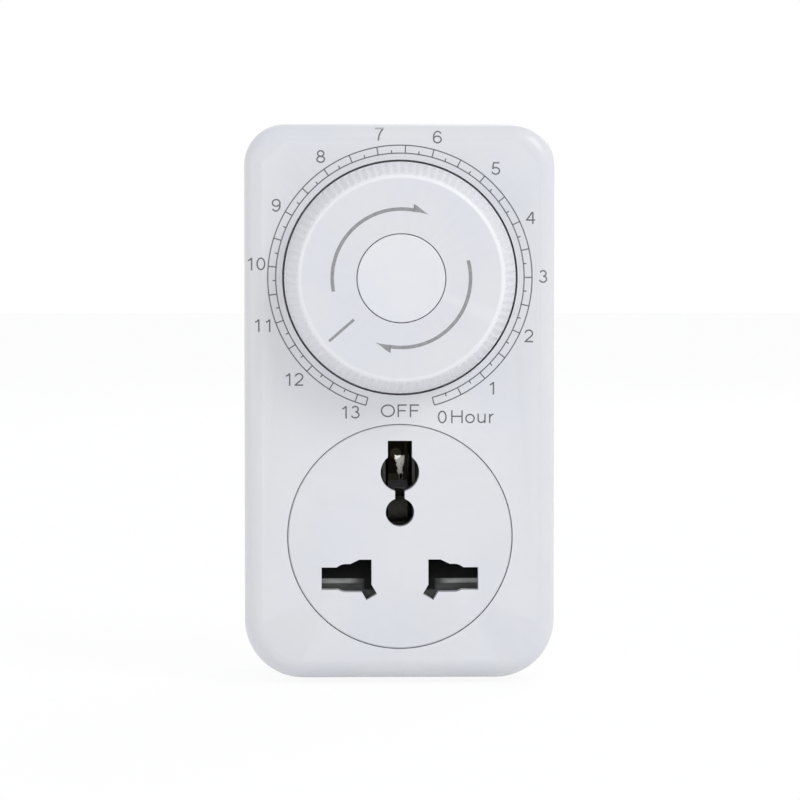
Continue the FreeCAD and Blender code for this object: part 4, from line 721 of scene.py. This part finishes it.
def bowl(x, z, half_width, half_height, first, last):
    """Points along an oval from one direction to another."""
    steps = round(abs(last - first) / BOWL_STEP)
    turn = [math.radians(first + (last - first) * i / steps) for i in range(steps + 1)]
    return [(x + half_width * math.cos(t), z + half_height * math.sin(t)) for t in turn]


def ring(x, z, half_width, half_height):
    """Points round a whole oval, which ends at its first point."""
    points = bowl(x, z, half_width, half_height, 0, 360)
    return points[:-1] + points[:1]


# Letters as the middle lines of their strokes, in letter heights, with each letter's width.
DIGIT_WIDTH = 0.68
SIX = [ring(0.34, 0.315, 0.265, 0.257), bowl(0.365, 0.5, 0.29, 0.442, 38, 196)]
DIGITS = {
    "0": [ring(0.34, 0.5, 0.265, 0.442)],
    "1": [[(0.45, 0.0), (0.45, 0.97)], [(0.44, 0.95), (0.34, 0.83), (0.19, 0.74)]],
    "2": [bowl(0.34, 0.68, 0.255, 0.262, 172, -32)
          + [(0.40, 0.37), (0.20, 0.19), (0.09, 0.058), (0.635, 0.058)]],
    "3": [bowl(0.33, 0.728, 0.215, 0.214, 160, -88), bowl(0.33, 0.285, 0.26, 0.229, 88, -166)],
    "4": [[(0.49, 0.0), (0.49, 0.92)], [(0.46, 0.93), (0.06, 0.305), (0.65, 0.305)]],
    "5": [[(0.59, 0.94), (0.19, 0.94), (0.115, 0.47)],
          bowl(0.335, 0.315, 0.265, 0.257, 146, -166)],
    "6": SIX,
    "7": [[(0.05, 0.94), (0.62, 0.94), (0.43, 0.66), (0.32, 0.37), (0.27, 0.0)]],
    "8": [ring(0.34, 0.732, 0.215, 0.21), ring(0.34, 0.285, 0.265, 0.227)],
    "9": [[(DIGIT_WIDTH - x, 1.0 - z) for x, z in stroke] for stroke in SIX],
}
LETTERS = {
    "O": (1.02, [ring(0.51, 0.5, 0.45, 0.442)]),
    "F": (0.78, [[(0.14, 0.0), (0.14, 0.94), (0.74, 0.94)], [(0.14, 0.50), (0.66, 0.50)]]),
    "H": (0.96, [[(0.12, 0.0), (0.12, 1.0)], [(0.84, 0.0), (0.84, 1.0)],
                 [(0.12, 0.53), (0.84, 0.53)]]),
    "o": (0.74, [ring(0.36, 0.36, 0.29, 0.315)]),
    "u": (0.72, [[(0.11, 0.73), (0.11, 0.28)] + bowl(0.33, 0.26, 0.22, 0.205, 190, 350),
                 [(0.59, 0.73), (0.59, 0.0)]]),
    "r": (0.46, [[(0.12, 0.73), (0.12, 0.0)], bowl(0.40, 0.36, 0.28, 0.33, 165, 92)]),
}
LETTERS.update((digit, (DIGIT_WIDTH, strokes)) for digit, strokes in DIGITS.items())
LETTER_HEIGHT = 2.46 * MM
LETTER_MIDDLE = 0.5              # in letter heights, as all below
LETTER_LINE = 0.110              # width of a stroke
LETTER_GAP = 0.09                # between letters
LETTER_STRETCH = 1.10            # how much wider the letters are than written above

# Text, and the X and Z of its middle in millimetres.
FACE_TEXT = (
    ("0", 8.05, 30.85), ("1", 17.45, 36.35), ("2", 24.6, 46.3), ("3", 27.25, 57.6),
    ("4", 24.9, 68.8), ("5", 18.2, 78.1), ("6", 7.1, 84.05), ("7", -3.95, 84.6),
    ("8", -15.05, 80.35), ("9", -23.5, 71.1), ("10", -27.3, 60.0), ("11", -26.15, 48.3),
    ("12", -20.05, 38.05), ("13", -9.4, 31.8), ("OFF", 0.05, 32.05), ("Hour", 13.85, 30.9),
)


def lettering(text, x, z):
    """Plain letters or numbers with their ink centred on x and z, printed on the face."""
    pen = 0.0
    strokes = []
    for letter in text:
        width, shapes = LETTERS[letter]
        strokes += [[(pen + across * LETTER_STRETCH, up) for across, up in shape]
                    for shape in shapes]
        pen += width * LETTER_STRETCH + LETTER_GAP
    reach = [across for stroke in strokes for across, up in stroke]
    middle = (min(reach) + max(reach)) / 2
    plate = PrintedPlate("front_cover")
    for stroke in strokes:
        points = [(x + (across - middle) * LETTER_HEIGHT, z + (up - LETTER_MIDDLE) * LETTER_HEIGHT)
                  for across, up in stroke]
        plate.line(points, LETTER_LINE * LETTER_HEIGHT)
    kind = "hour_" if text.isdigit() else "word_"
    plate.made(kind + text, "case", "face_ink")


def face_text():
    """The hours round the dial and the words below it."""
    for text, x, z in FACE_TEXT:
        lettering(text, x * MM, z * MM)


# The studio. Lamps are square: name, place, side and power in watts.
LAMPS = (
    ("upper_right_lamp", (0.72, -0.70, 0.80), 0.55, 5.1),
    ("left_fill_lamp", (-1.10, -0.50, 0.25), 0.60, 1.6),
    ("rear_lamp", (0.40, 1.00, 0.70), 0.60, 3.0),
)
LIT_POINT = Vector((0.0, FACE_Y, 0.03))
SURROUNDING_COLOUR = (0.95, 0.97, 1.0, 1)
SURROUNDING_LIGHT = 0.70
WHITE = (1, 1, 1, 1)
SEEN_BY = ("Is Camera Ray", "Is Glossy Ray", "Is Transmission Ray")
FLOOR_DROP = 1.0 * MM            # below the object's lowest point
FLOOR_REACH = 3.0
FLOOR_COLOUR = (0.97, 0.97, 0.97, 1)
FLOOR_ROUGHNESS = 0.9
FLOOR_GLOW = 0.92                # share of plain white in what is seen of it
# The camera looks at the face from a little above and a little to the left.
CAMERA_DISTANCE = 0.75
CAMERA_RIGHT = -1.7              # degrees round from the front
CAMERA_UP = 2.6                  # degrees above level
CAMERA_CLIP = (0.01, 20.0)
PICTURE_WIDTH = 152.25 * MM      # what the frame spans at the face
SENSOR_WIDTH = 36.0
AIM = Vector((0.0, FACE_Y, 34.10 * MM))


def point_at(thing, place, target):
    """Puts a lamp or the camera in its place and turns it to the target."""
    thing.location = place
    thing.rotation_mode = "QUATERNION"
    thing.rotation_quaternion = (target - Vector(place)).to_track_quat("-Z", "Y")


def soft_lamp(name, place, side, power):
    data = bpy.data.lights.new(name, "AREA")
    data.shape = "SQUARE"
    data.size = side
    data.energy = power
    point_at(new_object(name, data), place, LIT_POINT)


def seen_directly(tree):
    """1 for rays from the camera, mirrors and glass, 0 for the light that falls on things."""
    path = add_node(tree, "ShaderNodeLightPath")
    camera, mirror, glass = (Signal(tree, path.outputs[ray]) for ray in SEEN_BY)
    return camera.or_higher(mirror).or_higher(glass)


def white_surroundings():
    """A world that looks white and lights the object with less."""
    world = bpy.data.worlds.new("white_studio")
    bpy.context.scene.world = world
    world.use_nodes = True
    tree = world.node_tree
    light = tree.nodes["Background"]
    light.inputs["Color"].default_value = SURROUNDING_COLOUR
    light.inputs["Strength"].default_value = SURROUNDING_LIGHT
    white = add_node(tree, "ShaderNodeBackground", None, {"Color": WHITE, "Strength": 1.0})
    mix = add_node(tree, "ShaderNodeMixShader", None,
                   {0: seen_directly(tree), 1: light.outputs[0], 2: white.outputs[0]})
    feed(tree, tree.nodes["World Output"].inputs["Surface"], mix.outputs[0])


def pale_floor():
    """A floor that looks nearly white and keeps the object's shadow."""
    material = bpy.data.materials.new("pale_floor")
    material.use_nodes = True
    tree = material.node_tree
    shader = tree.nodes["Principled BSDF"]
    shader.inputs["Base Color"].default_value = FLOOR_COLOUR
    shader.inputs["Roughness"].default_value = FLOOR_ROUGHNESS
    glow = add_node(tree, "ShaderNodeEmission", None, {"Strength": 1.0})
    mix = add_node(tree, "ShaderNodeMixShader", None,
                   {0: seen_directly(tree) * FLOOR_GLOW, 1: shader.outputs[0],
                    2: glow.outputs[0]})
    feed(tree, tree.nodes["Material Output"].inputs["Surface"], mix.outputs[0])
    z = CAD_BOX[0].z - FLOOR_DROP
    corners = [(x * FLOOR_REACH, y * FLOOR_REACH, z)
               for x, y in ((-1, -1), (1, -1), (1, 1), (-1, 1))]
    floor = new_mesh_object("studio_floor", corners, [(0, 1, 2, 3)], material)


def front_camera():
    data = bpy.data.cameras.new("front_camera")
    data.sensor_width = SENSOR_WIDTH
    data.lens = SENSOR_WIDTH * CAMERA_DISTANCE / PICTURE_WIDTH
    data.clip_start, data.clip_end = CAMERA_CLIP
    camera = new_object("front_camera", data)
    aside, above = math.radians(CAMERA_RIGHT), math.radians(CAMERA_UP)
    back = Vector((math.sin(aside) * math.cos(above), -math.cos(aside) * math.cos(above),
                   math.sin(above)))
    point_at(camera, AIM + back * CAMERA_DISTANCE, AIM)
    bpy.context.scene.camera = camera


def studio():
    """The surroundings, the lamps, the floor and the camera."""
    bpy.context.scene.view_settings.view_transform = "Standard"
    white_surroundings()
    for lamp in LAMPS:
        soft_lamp(*lamp)
    pale_floor()
    front_camera()


dress_frame()
shutter_coil()
dial_scale()
knob_marks()
face_text()
studio()
